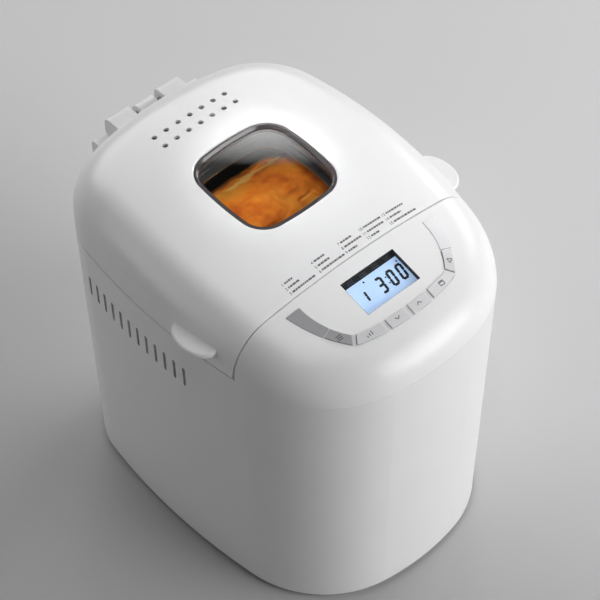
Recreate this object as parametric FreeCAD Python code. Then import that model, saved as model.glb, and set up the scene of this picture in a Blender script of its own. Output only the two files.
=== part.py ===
import FreeCAD, Part
import math
import os

# Bread machine, in millimetres. +Z is up, +X is right and the control panel faces -Y.
# The origin is on the table, under the middle of the machine with its hinge blocks.

# Outer casing, measured at the belt where the lid meets the body
HALF_WIDTH = 125.0
BODY_DEPTH = 325.0
BELT_Z = 250.0
CROWN_Z = 310.5
SIDE_RADIUS = 578.0
FRONT_RADIUS = 214.0
BACK_RADIUS = 316.0
FRONT_CORNER = 97.0
BACK_CORNER = 69.0
WIDEST_FROM_FRONT = 174.0
TAPER = 6.0
WALL = 2.5
PANEL_WALL = 3.5

# Domed top: radius across, radius along, where it is highest, and the rolled edge
CROWN_ACROSS = 608.0
CROWN_ALONG = 628.0
CROWN_TOP_FROM_FRONT = 217.0
ROLL = 36.5

# Gaps and running clearances
LID_GAP = 0.8
FIT = 0.3
SLIDE = 0.3
RUNNING = 0.04
PRESS = 0.03
SCREW_FIT = 0.2
SAME = 0.001

# Lid, its hinge and its finger tabs
PANEL_DEPTH = 92.0
HINGE_REACH = 13.0
HINGE_BEHIND = 5.0
HINGE_ABOVE_BELT = 25.0
BLOCK_FROM_MIDDLE = 14.5
BLOCK_LENGTH = 21.5
BLOCK_RISE = 9.0
BLOCK_DROP = 10.0
BLOCK_ROUND = 6.0
KNUCKLE_HALF = 8.5
KNUCKLE_RADIUS = 7.5
KNUCKLE_ARM = 24.0
STOP_FROM_MIDDLE = 41.0
STOP_WIDTH = 11.5
STOP_REACH = 9.5
STOP_ABOVE_BELT = 23.0
STOP_ROUND = 4.0
HINGE_PIN_RADIUS = 3.0
HINGE_PIN_GRIP = 16.0
TAB_REACH = 13.4
TAB_HALF = 21.0
TAB_THICK = 5.0
TAB_ABOVE_BELT = 15.0
TAB_FROM_SEAM = 37.5
TAB_ROUND = 1.8
EDGE_ROUND = 0.6
LINER_SHEET = 1.0
LID_DEPTH = 25.5
LID_RECESS_MARGIN = 2.0
SEAL_WIDTH = 6.0

# Steam holes in two rows, and the cooling slots in both sides
STEAM_COUNT = 7
STEAM_PITCH_X = 11.8
STEAM_PITCH_Y = 13.0
STEAM_RADIUS = 2.3
STEAM_FROM_BACK = 55.5
SLOT_COUNT = 12
SLOT_WIDTH = 3.2
SLOT_HEIGHT = 21.0
SLOT_BELOW_BELT = 30.0
SLOT_FROM_SEAM = 53.0
SLOT_FROM_BACK = 61.75

# Window in the lid
WINDOW_HALF = 46.0
WINDOW_BULGE = 230.0
WINDOW_CORNER = 23.0
WINDOW_SHARE = 0.416
WINDOW_RIM = 4.0
WINDOW_EDGE = 1.2
RING_RECESS = 0.4
RING_SLOPE = 2.0
RING_LAND = 0.6
GLASS = 3.0
GLASS_RECESS = 2.8
INNER_GLASS_LAP = 6.0

# Display and the U-shaped strip of trims and buttons, laid out on the slope of the panel
DISPLAY_FROM_SEAM = 28.5
DISPLAY_HALF_X = 26.3
DISPLAY_HALF_Y = 15.5
LENS_FLANGE = 2.0
LENS_FLANGE_THICK = 1.2
STRIP_TOP = 20.0
STRIP_OUTER_HALF = 76.7
STRIP_OUTER_WIDEST = 38.1
STRIP_OUTER_SIDE = 97.6
STRIP_OUTER_LOW = 35.7
STRIP_OUTER_BOW = 190.0
STRIP_OUTER_CORNER = 16.0
STRIP_INNER_HALF = 62.0
STRIP_INNER_WIDEST = 19.8
STRIP_INNER_SIDE = 60.0
STRIP_INNER_LOW = 26.4
STRIP_INNER_BOW = 232.0
STRIP_INNER_CORNER = 8.0
STRIP_LOOP_TOP = 70.0
BUTTON_PITCH = 21.4
BUTTON_POST = 3.4
CORNER_POST = 3.0
CORNER_POST_X = 48.1
CORNER_POST_LOW = 24.8
CORNER_POST_TURN = 36.0
TRIM_LINE = 0.8
TRIM_LINE_X = 60.3
TRIM_LINE_TURN = 71.0
BUTTON_PROUD = 0.9
BUTTON_ROUND = 0.25
BUTTON_FLANGE = 1.0
BUTTON_FLANGE_THICK = 1.2
BUTTON_TRAVEL = 1.0
STEM_RADIUS = 1.8
TRIM_PROUD = 0.3
TRIM_THICK = 1.6
BOARD_DEPTH = 14.0
BOARD_THICK = 1.6
SWITCH_SIZE = 6.0
SWITCH_HEIGHT = 3.5
LCD_MARGIN = 1.2
LCD_BELOW_LENS = 1.2
BOARD_BOSS_RADIUS = 3.2

# Floor of the machine, from the table upwards
FOOT_HEIGHT = 4.0
FOOT_RADIUS = 9.0
FOOT_PEG_RADIUS = 3.0
FOOT_INSET = 30.0
BASE_THICK = 2.5
BOSS_RADIUS = 5.0
BOSS_HEIGHT = 14.0
POST_HEIGHT = 38.0
POST_FROM_FOOT = 20.0
CHASSIS_POST_RADIUS = 6.0
CHASSIS_THICK = 2.0
CHASSIS_INSET = 14.0
SCREW_RADIUS = 1.5
SCREW_HEAD_RADIUS = 3.0
SCREW_HEAD_HEIGHT = 2.0
SCREW_GRIP = 10.0

# Oven chamber
CHAMBER_AIR_GAP = 18.5
CHAMBER_SETBACK = 19.0
CHAMBER_BACK_GAP = 42.0
RIM_STEP = 0.5
CHAMBER_CORNER = 32.0
CHAMBER_FLANGE = 8.0
ELEMENT_RADIUS = 3.5
ELEMENT_WALL_GAP = 4.0
ELEMENT_HEIGHT = 26.0
ELEMENT_CORNER = 36.0
ELEMENT_LEG_SPREAD = 24.0
CLIP_WIDTH = 8.0
CLIP_WEB = 2.0
SENSOR_RADIUS = 3.0
SENSOR_REACH = 12.0
SENSOR_HEIGHT = 84.0

# Bread pan and its bayonet
PAN_SIDE_GAP = 24.0
PAN_END_GAP = 26.0
PAN_HEIGHT = 138.0
PAN_DRAFT = 4.0
PAN_WALL = 1.5
PAN_CORNER = 24.0
PAN_LIP = 2.0
PAN_LIP_HEIGHT = 2.5
SKIRT_RADIUS = 38.0
SKIRT_WALL = 4.0
SKIRT_HEIGHT = 29.0
LUG_REACH = 3.4
LUG_HEIGHT = 3.5
LUG_LIFT = 2.2
LUG_HALF_ANGLE = 5.0
LUG_TURNS = (0.0, 180.0)
LIP_HALF_ANGLE = 5.5
SOCKET_WALL = 3.0
SOCKET_FLANGE = 7.0
SOCKET_FLANGE_THICK = 2.5
SOCKET_LIP = 3.0
SOCKET_SCREWS = 4
SOCKET_SCREW_TURN = 45.0
EAR_WIDTH = 22.0
EAR_DROP = 20.0
EAR_THICK = 2.0
PIVOT_BELOW_RIM = 6.0
PIVOT_RADIUS = 2.5
PIVOT_HEAD_RADIUS = 4.0
PIVOT_HEAD = 1.5
BAIL_WIRE = 2.5
BAIL_EYE = 5.5
EYE_CHEEK = 0.5
BAIL_SIDE_GAP = 2.5
BAIL_RIM_GAP = 2.5
BAIL_BEND = 18.0

# Drive under the chamber
SHAFT_RADIUS = 4.0
SHAFT_TAIL = 1.0
HUB_RADIUS = 11.0
HUB_FLANGE_THICK = 3.0
HUB_DROP = 8.0
HUB_RISE = 12.0
BUSH_RADIUS = 7.0
BUSH_LENGTH = 10.0
COUPLING_RADIUS = 14.0
COUPLING_DISC = 4.0
COUPLING_GAP = 2.0
WING_HEIGHT = 8.0
WING_INNER = 7.0
WING_HALF_ANGLE = 14.0
DOG_WIDTH = 6.0
DOG_CLEAR = 1.0
PAN_BUSH_RADIUS = 9.0
PAN_BUSH_FLANGE = 13.0
PAN_BUSH_FLANGE_THICK = 2.5
PAN_BUSH_RISE = 2.5
PADDLE_HUB = 8.0
PADDLE_HEIGHT = 24.0
PADDLE_LENGTH = 42.0
PADDLE_BLADE = 4.0
PADDLE_LIFT = 0.8
PULLEY_RADIUS = 54.0
PULLEY_WIDTH = 12.0
PULLEY_FLANGE = 3.0
PULLEY_FLANGE_THICK = 1.0
PULLEY_WEB = 3.0
PULLEY_HUB = 10.0
PULLEY_DROP = 10.0
NUT_ACROSS = 13.0
NUT_HEIGHT = 5.0
BELT_THICK = 2.2
MOTOR_PULLEY_RADIUS = 8.7
MOTOR_RADIUS = 36.0
MOTOR_HEIGHT = 62.0
MOTOR_CASE_WALL = 4.0
MOTOR_END_WALL = 8.0
MOTOR_GAP = 10.0
MOTOR_SHAFT_RADIUS = 3.0
MOTOR_TAIL = 6.0
ROTOR_RADIUS = 22.0
ROTOR_GAP = 1.0
STATOR_THICK = 8.0
MOTOR_LUG_RADIUS = 6.0
MOTOR_LUG_THICK = 3.0

# Power board and the cord gland
POWER_BOARD_SIDE_GAP = 16.5
POWER_BOARD_HEIGHT = 84.0
GUIDE_WIDTH = 6.0
GUIDE_DEPTH = 7.0
RELAY = 18.0
RELAY_SHARE = 0.34
TRANSFORMER_SHARE = 0.68
TRANSFORMER_ABOVE = 9.0
CAPACITOR_RADIUS = 8.0
GLAND_RADIUS = 6.0
GLAND_FLANGE = 9.0
GLAND_FLANGE_THICK = 3.0
GLAND_SHARE = 0.5
GLAND_ABOVE_BASE = 24.0
GLAND_BORE = 3.6

# Places worked out from the sizes above
FRONT_Y = -(BODY_DEPTH + HINGE_REACH) / 2
BACK_Y = FRONT_Y + BODY_DEPTH
SEAM_Y = FRONT_Y + PANEL_DEPTH
CROWN_Y = FRONT_Y + CROWN_TOP_FROM_FRONT
LID_LENGTH = BODY_DEPTH - PANEL_DEPTH
HINGE_Y = BACK_Y + HINGE_BEHIND
HINGE_Z = BELT_Z + HINGE_ABOVE_BELT
LID_BOTTOM = BELT_Z + LID_GAP
SLOT_PITCH = (LID_LENGTH - SLOT_FROM_SEAM - SLOT_FROM_BACK) / (SLOT_COUNT - 1)
WINDOW_Y = SEAM_Y + LID_LENGTH * WINDOW_SHARE
DISPLAY_Y = SEAM_Y - DISPLAY_FROM_SEAM
BASE_TOP = FOOT_HEIGHT + BASE_THICK
CHASSIS_BOTTOM = BASE_TOP + POST_HEIGHT
CHASSIS_TOP = CHASSIS_BOTTOM + CHASSIS_THICK
LINER_BOTTOM = CHASSIS_TOP + HUB_FLANGE_THICK
CHAMBER_FLOOR = LINER_BOTTOM + LINER_SHEET
CHAMBER_HALF_X = HALF_WIDTH - WALL - CHAMBER_AIR_GAP
CHAMBER_HALF_Y = (LID_LENGTH - CHAMBER_SETBACK - CHAMBER_BACK_GAP) / 2
PAN_Y = SEAM_Y + CHAMBER_SETBACK + CHAMBER_HALF_Y
RIM_PLATE_BOTTOM = BELT_Z - PANEL_WALL
RIM_PLATE_TOP = BELT_Z - RIM_STEP
PAN_HALF_X = CHAMBER_HALF_X - PAN_SIDE_GAP
PAN_HALF_Y = CHAMBER_HALF_Y - PAN_END_GAP
SKIRT_BOTTOM = CHAMBER_FLOOR + FIT
PAN_FLOOR = SKIRT_BOTTOM + SKIRT_HEIGHT
PAN_RIM = PAN_FLOOR + PAN_HEIGHT
PIVOT_Z = PAN_RIM - PIVOT_BELOW_RIM
BAIL_X = PAN_HALF_X + PAN_LIP + BAIL_SIDE_GAP + BAIL_WIRE
EYE_HALF = BAIL_WIRE + EYE_CHEEK
BAIL_ARM = PAN_HALF_Y + PAN_LIP + BAIL_RIM_GAP + BAIL_WIRE
SOCKET_INNER = SKIRT_RADIUS + LUG_REACH + FIT
SOCKET_OUTER = SOCKET_INNER + SOCKET_WALL
SOCKET_REACH = SOCKET_OUTER + SOCKET_FLANGE
SOCKET_SCREW_CIRCLE = SOCKET_OUTER + SOCKET_FLANGE / 2
HUB_TOP = LINER_BOTTOM + HUB_RISE
HUB_BOTTOM = CHASSIS_TOP - HUB_DROP
DISC_BOTTOM = HUB_TOP + COUPLING_GAP
DISC_TOP = DISC_BOTTOM + COUPLING_DISC
PULLEY_TOP = CHASSIS_BOTTOM - PULLEY_DROP
PULLEY_BOTTOM = PULLEY_TOP - PULLEY_WIDTH
MOTOR_Y = PAN_Y - CHAMBER_HALF_Y - LINER_SHEET - MOTOR_GAP - MOTOR_RADIUS
LID_LINER_TOP = CROWN_Z - LID_DEPTH
ELEMENT_Z = CHAMBER_FLOOR + ELEMENT_HEIGHT
GLAND_X = -HALF_WIDTH * GLAND_SHARE
ELEMENT_BEND = ELEMENT_WALL_GAP + ELEMENT_RADIUS - FIT
SENSOR_Z = CHAMBER_FLOOR + SENSOR_HEIGHT

X = FreeCAD.Vector(1, 0, 0)
Y = FreeCAD.Vector(0, 1, 0)
Z = FreeCAD.Vector(0, 0, 1)

# Ovals made of eight tangent arcs: the casing, the window and the two edges of the button strip
CASING = dict(half=HALF_WIDTH, widest=FRONT_Y + WIDEST_FROM_FRONT, side=SIDE_RADIUS,
              back=BACK_Y, back_bow=BACK_RADIUS, back_corner=BACK_CORNER,
              front=FRONT_Y, front_bow=FRONT_RADIUS, front_corner=FRONT_CORNER)
WINDOW = dict(half=WINDOW_HALF, widest=WINDOW_Y, side=WINDOW_BULGE,
              back=WINDOW_Y + WINDOW_HALF, back_bow=WINDOW_BULGE, back_corner=WINDOW_CORNER,
              front=WINDOW_Y - WINDOW_HALF, front_bow=WINDOW_BULGE, front_corner=WINDOW_CORNER)
STRIP_OUTER = dict(half=STRIP_OUTER_HALF, widest=STRIP_OUTER_WIDEST, side=STRIP_OUTER_SIDE,
                   back=STRIP_LOOP_TOP, back_bow=STRIP_OUTER_BOW, back_corner=STRIP_OUTER_CORNER,
                   front=-STRIP_OUTER_LOW, front_bow=STRIP_OUTER_BOW, front_corner=STRIP_OUTER_CORNER)
STRIP_INNER = dict(half=STRIP_INNER_HALF, widest=STRIP_INNER_WIDEST, side=STRIP_INNER_SIDE,
                   back=STRIP_LOOP_TOP, back_bow=STRIP_INNER_BOW, back_corner=STRIP_INNER_CORNER,
                   front=-STRIP_INNER_LOW, front_bow=STRIP_INNER_BOW, front_corner=STRIP_INNER_CORNER)


def at(x, y, z=0.0):
    return FreeCAD.Vector(x, y, z)


def mirrored(point):
    return at(-point.x, point.y, point.z)


def mirror_x(shape):
    return shape.mirror(at(0, 0), X)


def toward(centre, point, distance):
    return centre + (point - centre).normalize() * distance


def arc(start, middle, end):
    return Part.Arc(start, middle, end).toShape()


def box(x0, x1, y0, y1, z0, z1):
    return Part.makeBox(x1 - x0, y1 - y0, z1 - z0, at(x0, y0, z0))


def rod(radius, z0, z1, x=0.0, y=0.0):
    return Part.makeCylinder(radius, z1 - z0, at(x, y, z0))


def rod_x(radius, x0, x1, y, z):
    return Part.makeCylinder(radius, x1 - x0, at(x0, y, z), X)


def rod_y(radius, y0, y1, x, z):
    return Part.makeCylinder(radius, y1 - y0, at(x, y0, z), Y)


def prism_x(outline, x0, x1):
    """Prism along X from a list of (y, z) corners."""
    corners = [at(x0, y, z) for y, z in outline]
    return Part.Face(Part.makePolygon(corners + corners[:1])).extrude(X * (x1 - x0))


def edges_at(shape, axis, value):
    """Edges that lie wholly in the plane where this coordinate has this value."""
    found = []
    for edge in shape.Edges:
        low, high = getattr(edge.BoundBox, axis + "Min"), getattr(edge.BoundBox, axis + "Max")
        if max(abs(low - value), abs(high - value)) < SAME:
            found.append(edge)
    return found


def largest(shape):
    return max(shape.Solids, key=lambda solid: solid.Volume)


def tube(outer, inner, z0, z1, x=0.0, y=0.0):
    return rod(outer, z0, z1, x, y).cut(rod(inner, z0, z1, x, y))


def join(shapes):
    first, rest = shapes[0], shapes[1:]
    return first.fuse(rest).removeSplitter() if rest else first


def meeting_point(centre_1, radius_1, centre_2, radius_2, up):
    """Where two circles cross on the right, on the upper or the lower side."""
    span = centre_2 - centre_1
    length = span.Length
    along = (radius_1 ** 2 - radius_2 ** 2 + length ** 2) / (2 * length)
    across = math.sqrt(radius_1 ** 2 - along ** 2)
    foot = centre_1 + span * (along / length)
    normal = at(-span.y, span.x) * (across / length)
    return max((foot + normal, foot - normal), key=lambda point: point.x + up * point.y)


def oval_corners(oval):
    """Centres of the two right-hand corner arcs, back and front."""
    side = at(oval["half"] - oval["side"], oval["widest"])
    back = at(0, oval["back"] - oval["back_bow"])
    front = at(0, oval["front"] + oval["front_bow"])
    back_radius, front_radius = oval["back_corner"], oval["front_corner"]
    back_corner = meeting_point(side, oval["side"] - back_radius,
                                back, oval["back_bow"] - back_radius, 1)
    front_corner = meeting_point(side, oval["side"] - front_radius,
                                 front, oval["front_bow"] - front_radius, -1)
    return side, back, front, back_corner, front_corner


def oval_wire(oval, inset, z):
    """Closed outline of an oval, moved inwards by inset, at height z."""
    side, back, front, back_corner, front_corner = oval_corners(oval)
    side_radius = oval["side"] - inset
    back_end = toward(back, back_corner, oval["back_bow"] - inset)
    side_back = toward(side, back_corner, side_radius)
    side_front = toward(side, front_corner, side_radius)
    front_end = toward(front, front_corner, oval["front_bow"] - inset)
    back_bend = toward(back_corner, (back_end + side_back) * 0.5, oval["back_corner"] - inset)
    front_bend = toward(front_corner, (front_end + side_front) * 0.5, oval["front_corner"] - inset)
    side_middle = side + X * side_radius
    runs = [(mirrored(back_end), at(0, oval["back"] - inset), back_end),
            (back_end, back_bend, side_back),
            (side_back, side_middle, side_front),
            (side_front, front_bend, front_end),
            (front_end, at(0, oval["front"] + inset), mirrored(front_end)),
            (mirrored(front_end), mirrored(front_bend), mirrored(side_front)),
            (mirrored(side_front), mirrored(side_middle), mirrored(side_back)),
            (mirrored(side_back), mirrored(back_bend), mirrored(back_end))]
    lift = at(0, 0, z)
    return Part.Wire([arc(a + lift, b + lift, c + lift) for a, b, c in runs])


def oval_prism(oval, inset, z0, z1):
    return Part.Face(oval_wire(oval, inset, z0)).extrude(at(0, 0, z1 - z0))


def casing_corner(inset, back):
    """Point on a right-hand corner of the casing's plan, this far in from the belt outline."""
    corners = oval_corners(CASING)
    centre = corners[3] if back else corners[4]
    radius = BACK_CORNER if back else FRONT_CORNER
    reach = (radius - inset) / math.sqrt(2)
    return centre + at(reach, reach if back else -reach)


def four_corners(inset):
    right = [casing_corner(inset, True), casing_corner(inset, False)]
    return right + [mirrored(point) for point in right]


def round_box(half_x, half_y, corner, z, y=0.0):
    """Outline of a rounded rectangle at height z, centred on x = 0."""
    in_x, in_y = half_x - corner, half_y - corner
    bend = corner / math.sqrt(2)
    edges = []
    for sx, sy in ((1, 1), (-1, 1), (-1, -1), (1, -1)):
        on_side = at(sx * half_x, y + sy * in_y, z)
        on_end = at(sx * in_x, y + sy * half_y, z)
        middle = at(sx * (in_x + bend), y + sy * (in_y + bend), z)
        turn = (on_side, on_end) if sx == sy else (on_end, on_side)
        edges.append((turn[0], middle, turn[1]))
    loop = []
    for index, (start, middle, end) in enumerate(edges):
        loop.append(arc(start, middle, end))
        loop.append(Part.makeLine(end, edges[(index + 1) % 4][0]))
    return Part.Wire(loop)


def round_prism(half_x, half_y, corner, z0, z1, y=0.0):
    return Part.Face(round_box(half_x, half_y, corner, z0, y)).extrude(at(0, 0, z1 - z0))


def bent_rod(points, bend, radius):
    """Round bar along straight runs joined by arcs of one bend radius."""
    edges = []
    start = points[0]
    for before, corner, after in zip(points, points[1:], points[2:]):
        back, ahead = (before - corner).normalize(), (after - corner).normalize()
        half_turn = back.getAngle(ahead) / 2
        run = bend / math.tan(half_turn)
        enter, leave = corner + back * run, corner + ahead * run
        centre = toward(corner, corner + back + ahead, bend / math.sin(half_turn))
        edges += [Part.makeLine(start, enter), arc(enter, toward(centre, corner, bend), leave)]
        start = leave
    edges.append(Part.makeLine(start, points[-1]))
    section = Part.Wire(Part.makeCircle(radius, points[0], points[1] - points[0]))
    return Part.Wire(edges).makePipeShell([section], True, False)


def screw(radius, length, x, y, z, up=1):
    """Pan-head screw: the head stands on height z and the shank runs away from it."""
    head = Part.makeCylinder(SCREW_HEAD_RADIUS, SCREW_HEAD_HEIGHT, at(x, y, z), Z * up)
    shank = Part.makeCylinder(radius, length, at(x, y, z), Z * -up)
    return head.fuse(shank).removeSplitter()


# The domed top and the casing forms that are cut from it

def crown(drop):
    """Everything under the domed top, lowered by drop, as a slice swung about a far axis."""
    reach = HALF_WIDTH + 2 * TAB_REACH
    centre = CROWN_Z - CROWN_ACROSS
    radius = CROWN_ACROSS - drop
    edge_z = centre + math.sqrt(radius ** 2 - reach ** 2)
    low = BELT_Z - 2 * ROLL
    top = arc(at(-reach, CROWN_Y, edge_z), at(0, CROWN_Y, CROWN_Z - drop), at(reach, CROWN_Y, edge_z))
    sides = Part.makePolygon([at(reach, CROWN_Y, edge_z), at(reach, CROWN_Y, low),
                              at(-reach, CROWN_Y, low), at(-reach, CROWN_Y, edge_z)])
    face = Part.Face(Part.Wire([top] + sides.Edges))
    pivot = at(0, CROWN_Y, CROWN_Z - CROWN_ALONG)
    swing = math.degrees(math.asin((BODY_DEPTH - HINGE_REACH) / CROWN_ALONG))
    face.rotate(pivot, X, -swing)
    return face.revolve(pivot, X, 2 * swing)


def crown_height(y):
    return CROWN_Z - CROWN_ALONG + math.sqrt(CROWN_ALONG ** 2 - (y - CROWN_Y) ** 2)


def slab(prism, top, bottom):
    """The part of a prism between the dome lowered by top and the dome lowered by bottom."""
    return prism.common(crown(top)).cut(crown(bottom))


def top_form(inset):
    """Solid upper casing: straight sides, domed top and rolled edge, moved inwards by inset."""
    prism = oval_prism(CASING, inset, BELT_Z - ROLL, CROWN_Z + ROLL)
    form = prism.common(crown(inset))
    dome = max(form.Faces, key=lambda face: face.CenterOfMass.z)
    return form.makeFillet(ROLL - inset, dome.Edges)


def lower_form(inset):
    """Solid lower casing: draws in a little towards the base."""
    wires = [oval_wire(CASING, inset + TAPER, BASE_TOP), oval_wire(CASING, inset, BELT_Z)]
    return Part.makeLoft(wires, True, True)


def behind_seam(setback, bottom):
    """Space that the lid may fill: behind the seam, and within its own swing below the hinge."""
    far = BODY_DEPTH
    front = SEAM_Y + setback
    space = box(-far, far, front, far, bottom, CROWN_Z + ROLL)
    swing = rod_x(HINGE_Y - front, -far, far, HINGE_Y, HINGE_Z)
    corner = box(-far, far, front, front + PANEL_DEPTH, bottom, HINGE_Z)
    return space.cut(corner.cut(swing))


def before_seam(setback, bottom):
    """Space in front of the lid, for the control panel."""
    far = BODY_DEPTH
    return box(-far, far, -far, SEAM_Y - LID_GAP - setback, bottom, CROWN_Z + ROLL)


# Body casing

def cooling_slots():
    first = SEAM_Y + SLOT_FROM_SEAM
    top = BELT_Z - SLOT_BELOW_BELT
    middle = top - SLOT_HEIGHT / 2
    straight = SLOT_HEIGHT - SLOT_WIDTH
    reach = HALF_WIDTH + TAB_REACH
    slots = []
    for index in range(SLOT_COUNT):
        y = first + index * SLOT_PITCH
        slots.append(box(-reach, reach, y - SLOT_WIDTH / 2, y + SLOT_WIDTH / 2,
                         middle - straight / 2, middle + straight / 2))
        slots.append(rod_x(SLOT_WIDTH / 2, -reach, reach, y, middle - straight / 2))
        slots.append(rod_x(SLOT_WIDTH / 2, -reach, reach, y, middle + straight / 2))
    chamber_side = CHAMBER_HALF_X + LINER_SHEET
    keep = box(-chamber_side, chamber_side, -BODY_DEPTH, BODY_DEPTH, 0, CROWN_Z)
    return Part.makeCompound(slots).cut(keep)


def boss_places():
    return four_corners(TAPER + WALL + BOSS_RADIUS / 2)


def body_shell():
    outside = lower_form(0)
    shell = outside.cut(lower_form(WALL))
    for place in boss_places():
        boss = rod(BOSS_RADIUS, BASE_TOP, BASE_TOP + BOSS_HEIGHT, place.x, place.y)
        shell = shell.fuse(boss.common(outside))
    for place in boss_places():
        shell = shell.cut(rod(SCREW_RADIUS + PRESS, 0, BASE_TOP + SCREW_GRIP + SCREW_FIT, place.x, place.y))
    gland = rod_y(GLAND_RADIUS + FIT, 0, BODY_DEPTH, GLAND_X, BASE_TOP + GLAND_ABOVE_BASE)
    return shell.cut(cooling_slots()).cut(gland).removeSplitter()


def behind_casing(shape):
    """The part of a shape that stands behind the body and clears the closed lid."""
    closed_lid = oval_prism(CASING, -LID_GAP, BELT_Z, CROWN_Z)
    return largest(shape.cut(lower_form(0)).cut(closed_lid))


def hinge_knuckle():
    """Bracket on the back of the body with the middle knuckle of the hinge."""
    low, inside = BELT_Z - KNUCKLE_ARM, BACK_Y - BACK_CORNER
    reach = HINGE_Y + KNUCKLE_RADIUS
    arm = prism_x([(inside, low), (BACK_Y, low), (reach, BELT_Z), (reach, HINGE_Z), (inside, HINGE_Z)],
                  -KNUCKLE_HALF, KNUCKLE_HALF)
    knuckle = rod_x(KNUCKLE_RADIUS, -KNUCKLE_HALF, KNUCKLE_HALF, HINGE_Y, HINGE_Z)
    bore = rod_x(HINGE_PIN_RADIUS + PRESS, -KNUCKLE_HALF, KNUCKLE_HALF, HINGE_Y, HINGE_Z)
    return join([behind_casing(arm), knuckle]).cut(bore)


def lid_stops():
    """Two low stops on the back of the body, beside the hinge."""
    low, inside = BELT_Z - KNUCKLE_ARM, BACK_Y - BACK_CORNER
    reach, top = BACK_Y + STOP_REACH, BELT_Z + STOP_ABOVE_BELT
    stop = prism_x([(inside, low), (BACK_Y, low), (reach, BELT_Z), (reach, top), (inside, top)],
                   STOP_FROM_MIDDLE, STOP_FROM_MIDDLE + STOP_WIDTH)
    ridge = [edge for edge in edges_at(stop, "Y", reach) if edge.BoundBox.ZMin > BELT_Z]
    stop = behind_casing(stop.makeFillet(STOP_ROUND, ridge))
    return Part.makeCompound([stop, mirror_x(stop)])


def hinge_pin():
    reach = BLOCK_FROM_MIDDLE + HINGE_PIN_GRIP
    return rod_x(HINGE_PIN_RADIUS, -reach, reach, HINGE_Y, HINGE_Z)


def cord_gland():
    z = BASE_TOP + GLAND_ABOVE_BASE
    wall_y = back_wall_y(GLAND_X, z)
    body = rod_y(GLAND_RADIUS, wall_y - 3 * WALL, wall_y + GLAND_FLANGE_THICK, GLAND_X, z)
    outside = rod_y(GLAND_FLANGE, wall_y - WALL, wall_y + GLAND_FLANGE_THICK, GLAND_X, z).cut(lower_form(0))
    inside = rod_y(GLAND_FLANGE, wall_y - 4 * WALL, wall_y - 3 * WALL, GLAND_X, z)
    bore = rod_y(GLAND_BORE, 0, BODY_DEPTH, GLAND_X, z)
    outside = max(outside.Solids, key=lambda solid: solid.CenterOfMass.y)
    return join([body, outside, inside]).cut(bore)


def back_wall_y(x, z):
    """Outer face of the back wall at this x and height."""
    ray = Part.makeLine(at(x, 0, z), at(x, BODY_DEPTH, z))
    return max(vertex.Point.y for vertex in ray.common(lower_form(0)).Vertexes)


# Floor, feet and chassis

def chassis_post_places():
    """One post beside each foot, nearer the middle of the machine."""
    feet_y = [place.y for place in four_corners(FOOT_INSET)]
    middle = (max(feet_y) + min(feet_y)) / 2
    return [at(place.x, place.y + math.copysign(POST_FROM_FOOT, middle - place.y))
            for place in four_corners(FOOT_INSET)]


def base_plate():
    plate = oval_prism(CASING, TAPER, FOOT_HEIGHT, BASE_TOP)
    for place in boss_places() + chassis_post_places():
        plate = plate.cut(rod(SCREW_RADIUS + SCREW_FIT, 0, BASE_TOP, place.x, place.y))
    for place in four_corners(FOOT_INSET):
        plate = plate.cut(rod(FOOT_PEG_RADIUS + PRESS, 0, BASE_TOP, place.x, place.y))
    return plate


def feet():
    pads = []
    for place in four_corners(FOOT_INSET):
        pad = rod(FOOT_RADIUS, 0, FOOT_HEIGHT, place.x, place.y)
        peg = rod(FOOT_PEG_RADIUS, 0, BASE_TOP + BASE_THICK, place.x, place.y)
        pads.append(join([pad, peg]))
    return Part.makeCompound(pads)


def base_screws():
    places = boss_places() + chassis_post_places()
    length = BASE_THICK + SCREW_GRIP
    return Part.makeCompound([screw(SCREW_RADIUS, length, place.x, place.y, FOOT_HEIGHT, -1)
                              for place in places])


def chassis_posts():
    return Part.makeCompound([tube(CHASSIS_POST_RADIUS, SCREW_RADIUS + PRESS, BASE_TOP, CHASSIS_BOTTOM,
                                   place.x, place.y) for place in chassis_post_places()])


def chassis_screws():
    """Screws from the chassis into its posts, and from the motor's lugs through the chassis."""
    length = CHASSIS_THICK + SCREW_GRIP
    post_screws = [screw(SCREW_RADIUS, length, place.x, place.y, CHASSIS_TOP)
                   for place in chassis_post_places()]
    lug_top = CHASSIS_TOP + MOTOR_LUG_THICK
    lug_screws = [screw(SCREW_RADIUS, lug_top - CHASSIS_BOTTOM, place.x, place.y, lug_top)
                  for place in motor_screw_places()]
    return Part.makeCompound(post_screws + lug_screws)


def socket_screw_places():
    places = []
    for index in range(SOCKET_SCREWS):
        turn = math.radians(SOCKET_SCREW_TURN + index * 360 / SOCKET_SCREWS)
        places.append(at(SOCKET_SCREW_CIRCLE * math.cos(turn), PAN_Y + SOCKET_SCREW_CIRCLE * math.sin(turn)))
    return places


def motor_screw_places():
    reach = MOTOR_RADIUS + MOTOR_LUG_RADIUS / 2
    return [at(side * reach, MOTOR_Y) for side in (1, -1)]


def chassis_plate():
    plate = oval_prism(CASING, CHASSIS_INSET, CHASSIS_BOTTOM, CHASSIS_TOP)
    holes = [rod(HUB_RADIUS + FIT, 0, CHASSIS_TOP, 0, PAN_Y),
             rod(MOTOR_PULLEY_RADIUS + PULLEY_FLANGE + FIT, 0, CHASSIS_TOP, 0, MOTOR_Y)]
    for place in chassis_post_places() + socket_screw_places() + motor_screw_places():
        holes.append(rod(SCREW_RADIUS + SCREW_FIT, 0, CHASSIS_TOP, place.x, place.y))
    return plate.cut(holes)


# Oven chamber

def chamber_prism(margin, z0, z1):
    return round_prism(CHAMBER_HALF_X + margin, CHAMBER_HALF_Y + margin, CHAMBER_CORNER + margin,
                       z0, z1, PAN_Y)


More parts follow.
